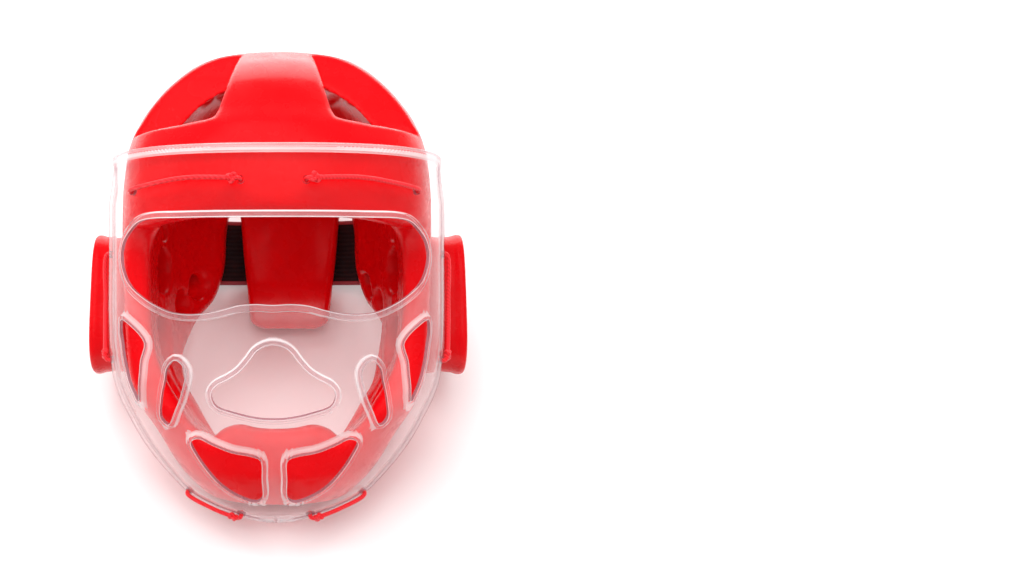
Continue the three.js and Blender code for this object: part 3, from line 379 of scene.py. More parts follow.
def height_of(level):
    return level * np.where(level >= 0, CROWN_RISE, CHIN_DROP)


def level_of(z):
    return z / np.where(z >= 0, CROWN_RISE, CHIN_DROP)


def face_height(level):
    return level * np.where(level >= 0, BROW_EDGE_LEVEL, -LIP_EDGE_LEVEL)


def between(a, b, low, high, t):
    """The point between two that t, from low to high, stands for"""
    return ((high - t) * a + (t - low) * b) / (high - low)


def curve_through(points, closed, steps=6):
    """Points along a smooth centripetal curve through the given ones"""
    points = np.asarray(points, float)
    if closed:
        ring = np.vstack([points[-1:], points, points[:2]])
    else:
        ring = np.vstack([2 * points[0] - points[1], points, 2 * points[-1] - points[-2]])
    parts = []
    for a, b, c, d in zip(ring, ring[1:], ring[2:], ring[3:]):
        t1 = np.linalg.norm(b - a) ** 0.5
        t2 = t1 + np.linalg.norm(c - b) ** 0.5
        t3 = t2 + np.linalg.norm(d - c) ** 0.5
        t = np.linspace(t1, t2, steps, endpoint=False)[:, None]
        bc = between(b, c, t1, t2, t)
        abc = between(between(a, b, 0, t1, t), bc, 0, t2, t)
        bcd = between(bc, between(c, d, t2, t3, t), t1, t3, t)
        parts.append(between(abc, bcd, t1, t2, t))
    if not closed:
        parts.append(points[-1:])
    return np.vstack(parts)


def outline_distance(outline, u, v):
    """How far points lie from a closed outline, negative inside it"""
    shape = np.broadcast(u, v).shape
    place = np.stack([np.broadcast_to(u, shape).ravel(), np.broadcast_to(v, shape).ravel()], axis=1)
    nearest = np.full(len(place), np.inf)
    crossings = np.zeros(len(place), int)
    for start, end in zip(outline, np.roll(outline, -1, axis=0)):
        run = end - start
        share = np.clip((place - start) @ run / max(run @ run, 1e-12), 0, 1)
        away = place - start - share[:, None] * run
        nearest = np.minimum(nearest, (away ** 2).sum(axis=1))
        spans = (start[1] > place[:, 1]) != (end[1] > place[:, 1])
        rise = run[1] if run[1] else 1
        meets = start[0] + run[0] * (place[:, 1] - start[1]) / rise
        crossings += spans & (place[:, 0] < meets)
    side = np.where(crossings % 2 == 1, -1, 1)
    return (side * np.sqrt(nearest)).reshape(shape)


def side_distance(outline, y, z):
    """Distance from an outline seen from the side, over the grid"""
    return outline_distance(outline, y[0], z[0])[None]


def front_distance(outline, x, z):
    """Distance from an outline seen from the front, over the grid"""
    return outline_distance(outline, x[:, 0], z[:, 0])[:, None]


def line_distance(start, end, u, v):
    run = np.subtract(end, start).astype(float)
    share = np.clip(((u - start[0]) * run[0] + (v - start[1]) * run[1]) / (run @ run), 0, 1)
    return np.hypot(u - start[0] - share * run[0], v - start[1] - share * run[1])


def rounded(a, b, radius):
    """The larger of two distances, so both hold, with the edge between them rounded"""
    overlap = np.maximum(radius - np.abs(a - b), 0) / radius
    return np.maximum(a, b) + overlap * overlap * radius / 4


def cut(field, cutter, radius):
    return rounded(field, -cutter, radius)


def joined(a, b, radius):
    return -rounded(-a, -b, radius)


# The foam as a field of distances on a grid, negative inside it

def grid_axes(low, high, step):
    """Grid lines along the three axes, those along x lying evenly either side of the middle"""
    x = (np.arange(math.ceil(high[0] / step)) + 0.5) * step
    y = np.arange(low[1], high[1], step)
    z = np.arange(low[2], high[2], step)
    return np.ix_(x, y, z)


def foam_section(z, offset):
    reach = np.where(z >= 0, CROWN_RISE, CHIN_DROP) + offset
    column = {name: smooth_column(FOAM_SECTIONS, name, z / reach) for name in FOAM_SECTIONS}
    middle = column["middle"] * TEMPLE_HALF
    smallest = 0.06 * TEMPLE_HALF
    return {
        "middle": middle,
        "half": np.maximum(column["half"] * TEMPLE_HALF + offset, smallest),
        "front": np.minimum(-column["front"] * BROW_REACH - offset, middle - smallest),
        "back": np.maximum(column["back"] * NAPE_REACH + offset, middle + smallest),
        "square_front": column["square_front"],
        "square_back": column["square_back"],
    }


def form_distance(x, y, z, offset, step):
    """About how far grid points lie outside the foam's form, grown by an offset"""
    section = foam_section(z, offset)
    forward = y < section["middle"]
    square = np.where(forward, section["square_front"], section["square_back"])
    depth = np.where(forward, section["middle"] - section["front"], section["back"] - section["middle"])
    across = np.abs(x / section["half"]) ** square
    along = np.abs((y - section["middle"]) / depth) ** square
    share = (across + along) ** (1 / square)
    slope = np.sqrt(sum(part ** 2 for part in np.gradient(share, step)))
    distance = (share - 1) / np.maximum(slope, 0.002)
    cap = np.maximum(z - CROWN_RISE - offset, -z - CHIN_DROP - offset)
    return rounded(distance, cap, CAP_ROUND)


def face_cutter(x, y, z):
    front = -1.5 * BROW_REACH
    wide = 1.3 * TEMPLE_HALF
    top = 2 * BROW_EDGE_LEVEL
    rear_y = -FACE_REAR_EDGE["front"] * BROW_REACH
    rear = curve_through(np.column_stack([rear_y, face_height(FACE_REAR_EDGE["level"])]), closed=False)
    side = np.vstack([[(front, BROW_EDGE_LEVEL)], rear, [(front, rear[-1, 1])]])
    half = np.column_stack([FACE_OUTLINE["side"] * TEMPLE_HALF, face_height(FACE_OUTLINE["level"])])
    mirror = half[:0:-1] * (-1, 1)
    around = curve_through(np.vstack([half, mirror]), closed=False)
    lip = curve_through(np.vstack([half[-LIP_POINTS:], mirror[:LIP_POINTS]]), closed=False)
    above_lip = np.vstack([[(wide, top), (wide, lip[0, 1])], lip, [(-wide, lip[-1, 1]), (-wide, top)]])
    opening = rounded(side_distance(side, y, z), front_distance(above_lip, x, z), FACE_ROUND)
    return joined(opening, np.maximum(front_distance(around, x, z), y), FACE_ROUND)


def brow_vent_cutter(x, y, z):
    front = -1.5 * BROW_REACH
    wide = 1.3 * TEMPLE_HALF
    high = CROWN_RISE + FOAM_WALL
    rise = CROWN_RISE - BAND_TOP_LEVEL
    low = BAND_TOP_LEVEL - BAND_TOP_FALL - BROW_VENT_DROP
    edge = [
        (-0.46 * BROW_REACH, low),
        (-0.45 * BROW_REACH, BAND_TOP_LEVEL),
        (-0.27 * BROW_REACH, BAND_TOP_LEVEL + 0.82 * rise),
        (-0.16 * BROW_REACH, high),
    ]
    side = np.array([(front, low), *edge, (front, high)])
    strip = [(share, up * rise) for share, up in BROW_VENT_STRIP]
    strip += [(share, fall * BAND_TOP_FALL) for share, fall in BROW_VENT_FOOT]
    strip = [(share * TEMPLE_HALF, BAND_TOP_LEVEL + up) for share, up in strip]
    frontal = np.array([(0.2 * TEMPLE_HALF, high), *strip, (wide, high)])
    behind_middle = np.maximum(side_distance(side, y, z), y)
    return rounded(front_distance(frontal, x, z), behind_middle, VENT_ROUND)


def nape_vent_cutter(x, y, z):
    high = CROWN_RISE + FOAM_WALL
    far = 2 * NAPE_REACH
    edge = [(0.69, NAPE_TOP_LEVEL), (0.53, 0.78 * CROWN_RISE), (0.515, 0.91 * CROWN_RISE), (0.5, high)]
    edge = np.array(edge) * (NAPE_REACH, 1)
    side = np.vstack([[(far, NAPE_TOP_LEVEL)], edge, [(far, high)]])
    tab = np.array([(0.4, 0.81), (0.65, 0.81), (0.68, 0.85), (0.68, 0.92), (0.64, 1.3), (0.4, 1.3)])
    tab *= (NAPE_REACH, CROWN_RISE)
    kept = rounded(side_distance(tab, y, z), np.abs(x) - 0.36 * TEMPLE_HALF, NAPE_ROUND)
    return cut(side_distance(side, y, z), kept, NAPE_ROUND)


def neck_cutter(y, z):
    jaw = np.column_stack([JAW_LINE["y"] * NAPE_REACH, JAW_LINE["level"] * CHIN_DROP])
    jaw = curve_through(np.vstack([[(0.86 * NAPE_REACH, 0)], jaw]), closed=False)
    far = 2 * NAPE_REACH
    below = -1.3 * CHIN_DROP
    side = np.vstack([[(far, 0)], jaw, [(-0.06 * NAPE_REACH, below), (far, below)]])
    return side_distance(side, y, z)


def nape_gap_cutter(x, y, z):
    """The gap that the nape pad hangs in"""
    side = np.column_stack([NAPE_SLIT["outer"] * TEMPLE_HALF, height_of(NAPE_SLIT["level"])])
    side = curve_through(side, closed=False)
    mirror = side[::-1] * (-1, 1)
    top = NAPE_SLIT["outer"][0] * TEMPLE_HALF - 4
    outline = np.vstack([[(-top, NAPE_SEAM_LEVEL), (top, NAPE_SEAM_LEVEL)], side, mirror])
    return np.maximum(front_distance(outline, x - NAPE_SHIFT, z), 0.3 * NAPE_REACH - y)


def nape_pad(x, y, z):
    """The pad that hangs from the nape band and curves in below the strap"""
    x = x - NAPE_SHIFT
    back = smooth_column(NAPE_PAD, "back", level_of(z)) * NAPE_REACH
    half = smooth_column(NAPE_PAD, "half", level_of(z)) * TEMPLE_HALF
    section = foam_section(np.maximum(z, 0), 0)
    depth = section["back"] - section["middle"]
    share = np.minimum(np.abs(x / section["half"]), 0.95) ** section["square_back"]
    outside = back - depth * (1 - (1 - share) ** (1 / section["square_back"]))
    lean = np.gradient(back[0, 0], (z[0, 0, 1] - z[0, 0, 0]))[None, None]
    true = 1 / np.sqrt(1 + lean ** 2)
    wall = np.maximum((y - outside) * true, (outside - FOAM_WALL - y) * true)
    low = height_of(NAPE_PAD["level"][-1])
    ends = np.maximum(low - z, z - NAPE_SEAM_LEVEL - PAD_OVERLAP)
    return rounded(rounded(wall, ends, PAD_ROUND), np.abs(x) - half, PAD_ROUND)


def crown_vent_cutter(x, y, z):
    lean = math.atan2(0.62 * CROWN_RISE, 1.1 * CROWN_VENT["x"])
    along = np.array([math.cos(lean), 0, math.sin(lean)])
    away = [x - CROWN_VENT["x"], y - CROWN_VENT["y"], z - CROWN_VENT["z"]]
    reach = away[0] * along[0] + away[2] * along[2]
    radius = np.sqrt((away[0] - reach * along[0]) ** 2 + away[1] ** 2 + (away[2] - reach * along[2]) ** 2)
    return radius - CROWN_VENT["diameter"] / 2


def ear_hole_centres():
    y = POD_CENTRE[0] + EAR_HOLES["across"] * POD_WIDTH
    z = POD_CENTRE[1] + EAR_HOLES["along"] * POD_LENGTH
    return list(zip(y, z))


def crease_depth(x, y, z):
    deepest = np.zeros((1, y.shape[1], z.shape[2]))
    for start, end in CREASES:
        away = line_distance(start, end, y, z)
        deepest = np.maximum(deepest, CREASE_DEPTH * np.exp(-((away / CREASE_WIDTH) ** 2)))
    return deepest * np.clip((x - CREASE_START) / CREASE_FADE, 0, 1)


def foam_half(x, y, z):
    """The foam on the wearer's left, which the right mirrors"""
    outside = form_distance(x, y, z, 0, FOAM_STEP) + crease_depth(x, y, z)
    inside = form_distance(x, y, z, -FOAM_WALL, FOAM_STEP)
    under_crown = form_distance(x, y, z, -CROWN_WALL, FOAM_STEP)
    inside = joined(inside, np.maximum(under_crown, BAND_TOP_LEVEL - 4 - z), FACE_ROUND)
    foam = np.maximum(outside, -inside)
    foam = cut(foam, face_cutter(x, y, z), FACE_ROUND)
    foam = cut(foam, brow_vent_cutter(x, y, z), VENT_ROUND)
    foam = cut(foam, nape_vent_cutter(x, y, z), NAPE_ROUND)
    foam = cut(foam, neck_cutter(y, z), NECK_ROUND)
    foam = cut(foam, crown_vent_cutter(x, y, z), HOLE_ROUND)
    vent_y, vent_level, diameters = SIDE_VENTS.values()
    holes = list(zip(vent_y * NAPE_REACH, height_of(vent_level), diameters))
    holes += [(*centre, EAR_HOLE_DIAMETER) for centre in ear_hole_centres()]
    for hole_y, hole_z, diameter in holes:
        reach = np.hypot(y - hole_y, z - hole_z) - diameter / 2
        foam = cut(foam, np.maximum(reach, HOLE_START - x), HOLE_ROUND)
    across = np.abs(y - STRAP_SLOT_Y) - STRAP_THICKNESS
    along = np.abs(z - STRAP_LOW_LEVEL - STRAP_WIDTH / 2) - STRAP_WIDTH / 2 - 1
    return cut(foam, np.maximum(np.maximum(across, along), -outside - SLOT_DEPTH), SLOT_ROUND)


def foam_field(x, y, z):
    """The whole foam, with its nape pad and the flat that it lies on"""
    half = foam_half(x, y, z)
    foam = np.concatenate([half[::-1], half])
    x = np.concatenate([-x[::-1], x])
    foam = cut(foam, nape_gap_cutter(x, y, z), PAD_ROUND)
    foam = joined(foam, nape_pad(x, y, z), PAD_ROUND)
    floor = (ROW @ Vector((0, 0, 0))).z / MM
    height = z * math.cos(REST_LEAN) - y * math.sin(REST_LEAN) + floor
    return rounded(foam, -height, SLOT_ROUND)


def pod_outline():
    turn = np.linspace(0, 2 * math.pi, 120, endpoint=False)
    sine, cosine = np.sin(turn), np.cos(turn)
    power = 2 / POD_SQUARE
    rear = sine > 0
    along = POD_LENGTH / 2 * powered(cosine, power)
    width = np.where(rear, 0.54, 0.46) * POD_WIDTH
    waist = np.where(rear, 0, 0.06 * POD_WIDTH * sine ** 6)
    across = width * powered(sine, power) + waist
    leant_y = across * math.cos(POD_LEAN) + along * math.sin(POD_LEAN)
    leant_z = along * math.cos(POD_LEAN) - across * math.sin(POD_LEAN)
    return np.column_stack([POD_CENTRE[0] + leant_y, POD_CENTRE[1] + leant_z])


def pod_field(x, y, z):
    """The ear pod: a raised block with a hollow flank and a flared rim, glued to the side"""
    base = TEMPLE_HALF - 1
    rise = (x - base) / (POD_RISE + 1)
    flank = side_distance(pod_outline(), y, z) + smooth_column(POD_FLANK, "inset", rise)
    pod = rounded(flank, x - TEMPLE_HALF - POD_RISE, POD_RIM_ROUND)
    for hole_y, hole_z in ear_hole_centres():
        pod = cut(pod, np.hypot(y - hole_y, z - hole_z) - POD_HOLE_DIAMETER / 2, POD_HOLE_ROUND)
    return np.maximum(pod, 0.4 - form_distance(x, y, z, 0, POD_STEP))


# From fields to meshes

CORNERS = np.array([(i, j, k) for i in (0, 1) for j in (0, 1) for k in (0, 1)])
EDGES = [(a, b) for a in range(8) for b in range(a + 1, 8) if np.abs(CORNERS[a] - CORNERS[b]).sum() == 1]


def surface_net(field, origin, step):
    """Points and quads of the surface where a field is zero, one point for each cell it crosses"""
    inside = field < 0
    cells = np.array(field.shape) - 1
    count = np.zeros(cells, int)
    for i, j, k in CORNERS:
        count += inside[i : i + cells[0], j : j + cells[1], k : k + cells[2]]
    where = np.argwhere((count > 0) & (count < 8))
    corner = [field[tuple((where + offset).T)] for offset in CORNERS]
    total = np.zeros((len(where), 3))
    crossed = np.zeros(len(where))
    for a, b in EDGES:
        low, high = corner[a], corner[b]
        meets = (low < 0) != (high < 0)
        share = np.where(meets, low / np.where(meets, low - high, 1), 0)
        point = CORNERS[a] + share[:, None] * (CORNERS[b] - CORNERS[a])
        total += point * meets[:, None]
        crossed += meets
    points = origin + step * (where + total / crossed[:, None])
    number = np.full(cells, -1)
    number[tuple(where.T)] = np.arange(len(where))
    quads = []
    for axis in range(3):
        u, v = (axis + 1) % 3, (axis + 2) % 3
        start = np.moveaxis(inside, axis, 0)
        change = np.moveaxis(start[1:] != start[:-1], 0, axis)
        at = np.argwhere(change)
        at = at[(at[:, u] > 0) & (at[:, v] > 0) & (at[:, u] < cells[u]) & (at[:, v] < cells[v])]
        step_u, step_v = np.eye(3, dtype=int)[u], np.eye(3, dtype=int)[v]
        ring = [number[tuple((at - shift).T)] for shift in (step_u + step_v, step_v, 0 * step_u, step_u)]
        ring = np.stack(ring, axis=1)
        leaves = inside[tuple(at.T)]
        ring[~leaves] = ring[~leaves][:, ::-1]
        quads.append(ring)
    return points, np.vstack(quads)


def relaxed(points, quads, passes):
    """The same mesh with its small ripples evened out and its size kept"""
    ends = np.vstack([quads[:, [k, (k + 1) % 4]] for k in range(4)])
    degree = np.bincount(ends.ravel(), minlength=len(points))[:, None]
    for push in (0.5, -0.52) * passes:
        total = np.zeros_like(points)
        for axis in range(3):
            total[:, axis] += np.bincount(ends[:, 0], points[ends[:, 1], axis], len(points))
            total[:, axis] += np.bincount(ends[:, 1], points[ends[:, 0], axis], len(points))
        points = points + push * (total / degree - points)
    return points


def field_normals(field, origin, step, points):
    """The field's slope at points, as unit vectors out of the surface"""
    place = (points - origin) / step
    low = np.clip(np.floor(place).astype(int), 1, np.array(field.shape) - 3)
    share = place - low
    normal = np.zeros_like(points)
    for corner in CORNERS:
        at = low + corner
        weight = np.prod(np.where(corner, share, 1 - share), axis=1)
        for axis in range(3):
            ahead, behind = at.copy(), at.copy()
            ahead[:, axis] += 1
            behind[:, axis] -= 1
            normal[:, axis] += weight * (field[tuple(ahead.T)] - field[tuple(behind.T)])
    return unit(normal)


def meshed(field, origin, step):
    """A field's surface, evened out, with the field's own normals"""
    points, quads = surface_net(field, origin, step)
    points = relaxed(points, quads, 2)
    return points, quads, field_normals(field, origin, step, points)


def new_object(name, data):
    thing = bpy.data.objects.new(name, data)
    bpy.context.scene.collection.objects.link(thing)
    return thing


def new_piece(name, points, faces, materials, slots=None, normals=None, sharp=None):
    """A mesh object from worn points in millimetres, leant back and scaled to its place"""
    mesh = bpy.data.meshes.new(name)
    mesh.from_pydata(points.tolist(), [], faces if isinstance(faces, list) else faces.tolist())
    mesh.transform(ROW)
    mesh.update()
    for material in materials:
        mesh.materials.append(material)
    mesh.polygons.foreach_set("use_smooth", np.ones(len(faces), bool))
    if slots is not None:
        mesh.polygons.foreach_set("material_index", np.asarray(slots, np.int32))
    if normals is not None:
        turned = normals @ np.array(LEAN.to_3x3()).T
        mesh.normals_split_custom_set_from_vertices(turned.tolist())
    if sharp is not None:
        mesh.set_sharp_from_angle(angle=sharp)
    mesh.update()
    piece = new_object(name, mesh)
    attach(piece, "root")
    return piece


def row_from_worn():
    """The strap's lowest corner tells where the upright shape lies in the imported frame"""
    upright = LEAN.inverted()
    strap = [upright @ vertex.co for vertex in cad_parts["rear_strap"].data.vertices]
    known_y = (STRAP_SLOT_Y - STRAP_THICKNESS / 2) * MM
    known_z = STRAP_LOW_LEVEL * MM
    shift = Vector((0, min(p.y for p in strap) - known_y, min(p.z for p in strap) - known_z))
    return LEAN @ Matrix.Translation(shift) @ Matrix.Scale(MM, 4)


LEAN = Matrix.Rotation(-REST_LEAN, 4, "X")
ROW = row_from_worn()
UPRIGHT_ORIGIN_Z = (LEAN.inverted() @ ROW).translation.z


# Materials

def add_node(tree, kind, inputs=None, **settings):
    node = tree.nodes.new("ShaderNode" + kind)
    for name, value in settings.items():
        setattr(node, name, value)
    for name, value in (inputs or {}).items():
        if isinstance(value, bpy.types.NodeSocket):
            tree.links.new(value, node.inputs[name])
        else:
            node.inputs[name].default_value = value
    return node


def new_material(name):
    material = bpy.data.materials.new(name)
    material.use_nodes = True
    tree = material.node_tree
    tree.nodes.clear()
    return material, tree


def finish_material(tree, shader):
    add_node(tree, "OutputMaterial", {"Surface": shader})


def blended(tree, factor, first, second):
    """A colour between two, by a factor"""
    pair = (end if isinstance(end, bpy.types.NodeSocket) else (*end, 1) for end in (first, second))
    return add_node(tree, "Mix", dict(zip((0, 6, 7), (factor, *pair))), data_type="RGBA").outputs[2]


def ranged(tree, value, low, high, to_low, to_high):
    limits = {"Value": value, "From Min": low, "From Max": high, "To Min": to_low, "To Max": to_high}
    return add_node(tree, "MapRange", limits).outputs["Result"]


def object_place(tree):
    return add_node(tree, "TexCoord").outputs["Object"]


def upright_place(tree):
    """Object coordinates turned back to the upright shape"""
    turn = {"Vector": object_place(tree), "Rotation": (REST_LEAN, 0, 0)}
    return add_node(tree, "Mapping", turn).outputs["Vector"]


def noise(tree, place, scale, detail):
    inputs = {"Vector": place, "Scale": scale, "Detail": detail}
    return add_node(tree, "TexNoise", inputs).outputs["Fac"]


def waves(tree, place, scale, distortion, direction):
    inputs = {"Vector": place, "Scale": scale, "Distortion": distortion}
    return add_node(tree, "TexWave", inputs, bands_direction=direction).outputs["Fac"]


def maths(tree, operation, first, second):
    return add_node(tree, "Math", {0: first, 1: second}, operation=operation).outputs[0]


def bumped(tree, height, strength, distance):
    inputs = {"Height": height, "Strength": strength, "Distance": distance}
    return add_node(tree, "Bump", inputs).outputs["Normal"]


def principled(tree, inputs):
    return add_node(tree, "BsdfPrincipled", inputs).outputs["BSDF"]


def mixed_shader(tree, factor, first, second):
    return add_node(tree, "MixShader", {0: factor, 1: first, 2: second}).outputs[0]


def dipped_skin(name, deep, bright, edge):
    """Moulded foam under a glossy dipped vinyl skin, a little uneven, with a painted highlight of paler
    red along its sharp edges
    """
    material, tree = new_material(name)
    place = object_place(tree)
    mottle = noise(tree, place, 22, 3)
    scuffs = noise(tree, place, 75, 5)
    peel = noise(tree, place, 420, 2)
    body = blended(tree, ranged(tree, mottle, 0.35, 0.65, 0, 1), deep, bright)
    # Pointiness picks out the sharp edges, and a paler red is mixed in there as a painted highlight
    sharp = add_node(tree, "NewGeometry").outputs["Pointiness"]
    skin = {
        "Base Color": blended(tree, ranged(tree, sharp, 0.53, 0.62, 0, 0.15), body, edge),
        "Roughness": ranged(tree, scuffs, 0.3, 0.7, 0.2, 0.34),
        "Normal": bumped(tree, peel, 0.12, 0.0003),
        "Specular IOR Level": 0.15,
        "Coat Weight": 0.12,
        "Coat Roughness": 0.06,
    }
    finish_material(tree, principled(tree, skin))
    return material


def clear_sheet(name, clearness, veil, tint, haze, brow_haze):
    """Clear moulded sheet: it lets light through, with a thin pale veil and sharp reflections"""
    material, tree = new_material(name)
    streak = noise(tree, object_place(tree), 30, 4)
    level = add_node(tree, "SeparateXYZ", {"Vector": upright_place(tree)}).outputs["Z"]
    low, high = (UPRIGHT_ORIGIN_Z + z * MM for z in HAZE_LEVELS)
    clouded = ranged(tree, level, low, high, 1, brow_haze)
    facing = add_node(tree, "LayerWeight", {"Blend": 0.5}).outputs["Facing"]
    # Where the sheet is seen edge-on, the light let through is darkened to grey-pink as painted shade
    # along its silhouettes
    seen_through = blended(tree, ranged(tree, facing, 0.84, 0.98, 0, 1), clearness, OUTLINE_SHADE_TINT)
    through = add_node(tree, "BsdfTransparent", {"Color": seen_through}).outputs["BSDF"]
    film = principled(tree, {"Base Color": (*tint, 1), "Roughness": 0.45})
    gloss = add_node(tree, "BsdfGlossy", {"Color": (1, 1, 1, 1), "Roughness": haze}).outputs["BSDF"]
    varied = ranged(tree, streak, 0.3, 0.7, veil * 0.8, veil * 1.2)
    body = mixed_shader(tree, maths(tree, "MULTIPLY", varied, clouded), through, film)
    steep = maths(tree, "POWER", facing, 4)
    finish_material(tree, mixed_shader(tree, ranged(tree, steep, 0, 1, 0.01, 0.45), body, gloss))
    return material


def webbing(name, colour, thread, sheen):
    """Ribbed elastic webbing, its ribs running along the strap"""
    material, tree = new_material(name)
    place = upright_place(tree)
    ribs = waves(tree, place, 95, 0.3, "Z")
    fibres = noise(tree, place, 900, 3)
    cloth = {
        "Base Color": blended(tree, ribs, colour, thread),
        "Roughness": 0.85,
        "Sheen Weight": sheen,
        "Normal": bumped(tree, maths(tree, "ADD", ribs, fibres), 0.5, 0.0004),
    }
    finish_material(tree, principled(tree, cloth))
    return material


def braided_cord(name, deep, bright):
    """Thin braided lace"""
    material, tree = new_material(name)
    plaits = waves(tree, upright_place(tree), 260, 1.2, "DIAGONAL")
    cord = {
        "Base Color": blended(tree, plaits, deep, bright),
        "Roughness": 0.4,
        "Normal": bumped(tree, plaits, 0.3, 0.0002),
    }
    finish_material(tree, principled(tree, cord))
    return material


def floor_paint(name):
    material, tree = new_material(name)
    grain = noise(tree, object_place(tree), 6, 2)
    colour = blended(tree, grain, (0.9, 0.89, 0.89), (0.93, 0.92, 0.92))
    paint = {"Base Color": colour, "Roughness": 0.6, "Specular IOR Level": 0.25}
    finish_material(tree, principled(tree, paint))
    return material


# Pieces

def foam_piece_of(centre):
    """Which moulded panel each face belongs to, by its centre"""
    x, y, z = np.abs(centre[:, 0]), centre[:, 1], centre[:, 2]
    pad_x = np.abs(centre[:, 0] - NAPE_SHIFT)
    (y0, z0), (y1, z1) = BROW_SEAM
    seam_y = y0 + (z - z0) * (y1 - y0) / (z1 - z0)
    inner = smooth_column(NAPE_SLIT, "inner", level_of(z))
    outer = smooth_column(NAPE_SLIT, "outer", level_of(z))
    left = centre[:, 0] > 0
    rear = y > WING_SEAM_Y
    tests = [
        ("crown", z > BAND_TOP_LEVEL),
        ("nape_band", rear & (x < NAPE_BAND_HALF) & (z > NAPE_SEAM_LEVEL)),
        ("nape_pad", rear & (pad_x < (inner + outer) / 2 * TEMPLE_HALF) & (z > -60)),
        ("rear_wing_left", rear & left),
        ("rear_wing_right", rear),
        ("chin_guard", z < CHIN_SEAM_LEVEL),
        ("brow_band", (y < seam_y) & (z > z0 - 8)),
        ("ear_panel_left", left),
        ("ear_panel_right", ~left),
    ]
    names = [name for name, _ in tests]
    return names, np.select([test for _, test in tests], range(len(tests)))


def make_foam(skin):
    low = np.array([0, -BROW_REACH - GRID_MARGIN, -CHIN_DROP - GRID_MARGIN])
    high = np.array([TEMPLE_HALF, NAPE_REACH, CROWN_RISE]) + GRID_MARGIN
    x, y, z = grid_axes(low, high, FOAM_STEP)
    field = foam_field(x, y, z)
    origin = np.array([-x[-1, 0, 0], low[1], low[2]])
    points, quads, normals = meshed(foam_field(x, y, z), origin, FOAM_STEP)
    names, owner = foam_piece_of(points[quads].mean(axis=1))
    for index, name in enumerate(names):
        faces = quads[owner == index]
        used, renumbered = np.unique(faces, return_inverse=True)
        faces = renumbered.reshape(faces.shape)
        piece = new_piece(f"{name}_foam", points[used], faces, [skin], normals=normals[used])
        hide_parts(name)


def make_pods(skin):
    ends = [(TEMPLE_HALF - GRID_MARGIN, TEMPLE_HALF + POD_RISE + 4), *POD_GRID]
    field = pod_field(*np.ix_(*(np.arange(low, high, POD_STEP) for low, high in ends)))
    points, quads, normals = meshed(field, [low for low, _ in ends], POD_STEP)
    for side, mirror in (("left", 1), ("right", -1)):
        flip = np.array([mirror, 1, 1])
        faces = quads if mirror == 1 else quads[:, ::-1]
        piece = new_piece(f"ear_pod_{side}_block", points * flip, faces, [skin], normals=normals * flip)
        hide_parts(f"ear_pod_{side}")


# The face shield, laid out flat as (arc, level) and bent to its form

def shield_section(z):
    level = z / np.where(z >= 0, SHIELD_TOP_LEVEL, SHIELD_DROP)
    front = -smooth_column(SHIELD_SECTIONS, "front", level) * SHIELD_REACH
    seat = foam_section(z, 0)["front"] - SHIELD_STAND - SHIELD_THICKNESS / 2
    rise = np.maximum(z - BROW_EDGE_LEVEL, 0) / (SHIELD_TOP_LEVEL - BROW_EDGE_LEVEL)
    return {
        "front": front + (seat - front) * rise ** 8,
        "edge": -smooth_column(SHIELD_SECTIONS, "edge", level) * SHIELD_REACH,
        "half": smooth_column(SHIELD_SECTIONS, "half", level) * SHIELD_HALF,
    }


def shield_by_angle(angle, z):
    section = shield_section(z)
    sine, cosine = np.sin(angle), np.maximum(np.cos(angle), 0)
    power = 2 / SHIELD_SQUARE
    x = section["half"] * powered(sine, power)
    y = section["edge"] - (section["edge"] - section["front"]) * cosine ** power
    return np.stack([x, y, z + 0 * x], axis=-1)


def arc_table():
    """Angles and how far along the shield's middle section they lie"""
    t = np.linspace(0, 1, 3001)
    angle = math.pi / 2 * t * t * (3 - 2 * t)
    line = shield_by_angle(angle, np.zeros_like(angle))
    return angle, runs(line)


ARC_ANGLE, ARC_LENGTH = arc_table()
ARC_END = ARC_LENGTH[-1]


def shield_surface(arc, z):
    angle = np.sign(arc) * np.interp(np.abs(arc), ARC_LENGTH, ARC_ANGLE)
    return shield_by_angle(angle, z)


def shield_slack(x, y, z):
    section = shield_section(z)
    across = np.abs(x / section["half"]) ** SHIELD_SQUARE
    reach = (section["edge"] - y) / (section["edge"] - section["front"])
    return across + np.maximum(reach, 0) ** SHIELD_SQUARE


def shield_normal(points):
    step = 0.5
    slopes = []
    for shift in np.eye(3) * step:
        ahead = shield_slack(*(points + shift).T)
        behind = shield_slack(*(points - shift).T)
        slopes.append(ahead - behind)
    normal = np.stack(slopes, axis=-1)
    return unit(np.stack(slopes, axis=-1))


def shield_arc(side, z):
    """Where along the flat sheet the shield has a share of its half width"""
    share = np.clip(side * SHIELD_HALF / shield_section(z)["half"], -1, 1)
    angle = np.arcsin(powered(share, SHIELD_SQUARE / 2))
    return np.sign(angle) * np.interp(np.abs(angle), ARC_ANGLE, ARC_LENGTH)


def shield_height(level):
    return level * np.where(level >= 0, SHIELD_TOP_LEVEL, SHIELD_DROP)


def flat_points(rows, mirror=1):
    z = shield_height(rows["level"])
    return np.column_stack([mirror * shield_arc(rows["side"], z), z])


def surface_metric(flat):
    """How lengths on the flat sheet turn into lengths on the bent one"""
    step = 0.05
    arc = np.clip(flat[:, 0], -ARC_END + step, ARC_END - step)
    z = np.clip(flat[:, 1], -SHIELD_DROP + step, SHIELD_TOP_LEVEL - step)
    by_arc = (shield_surface(arc + step, z) - shield_surface(arc - step, z)) / (2 * step)
    by_z = (shield_surface(arc, z + step) - shield_surface(arc, z - step)) / (2 * step)
    return (by_arc ** 2).sum(axis=1), (by_arc * by_z).sum(axis=1), (by_z ** 2).sum(axis=1)


def evened(flat, spacing):
    """The same closed outline with its points evenly spaced on the bent sheet"""
    loop = np.vstack([flat, flat[:1]])
    run = runs(shield_surface(*loop.T))
    at = np.linspace(0, run[-1], max(round(run[-1] / spacing), 8), endpoint=False)
    return np.column_stack([np.interp(at, run, loop[:, 0]), np.interp(at, run, loop[:, 1])])


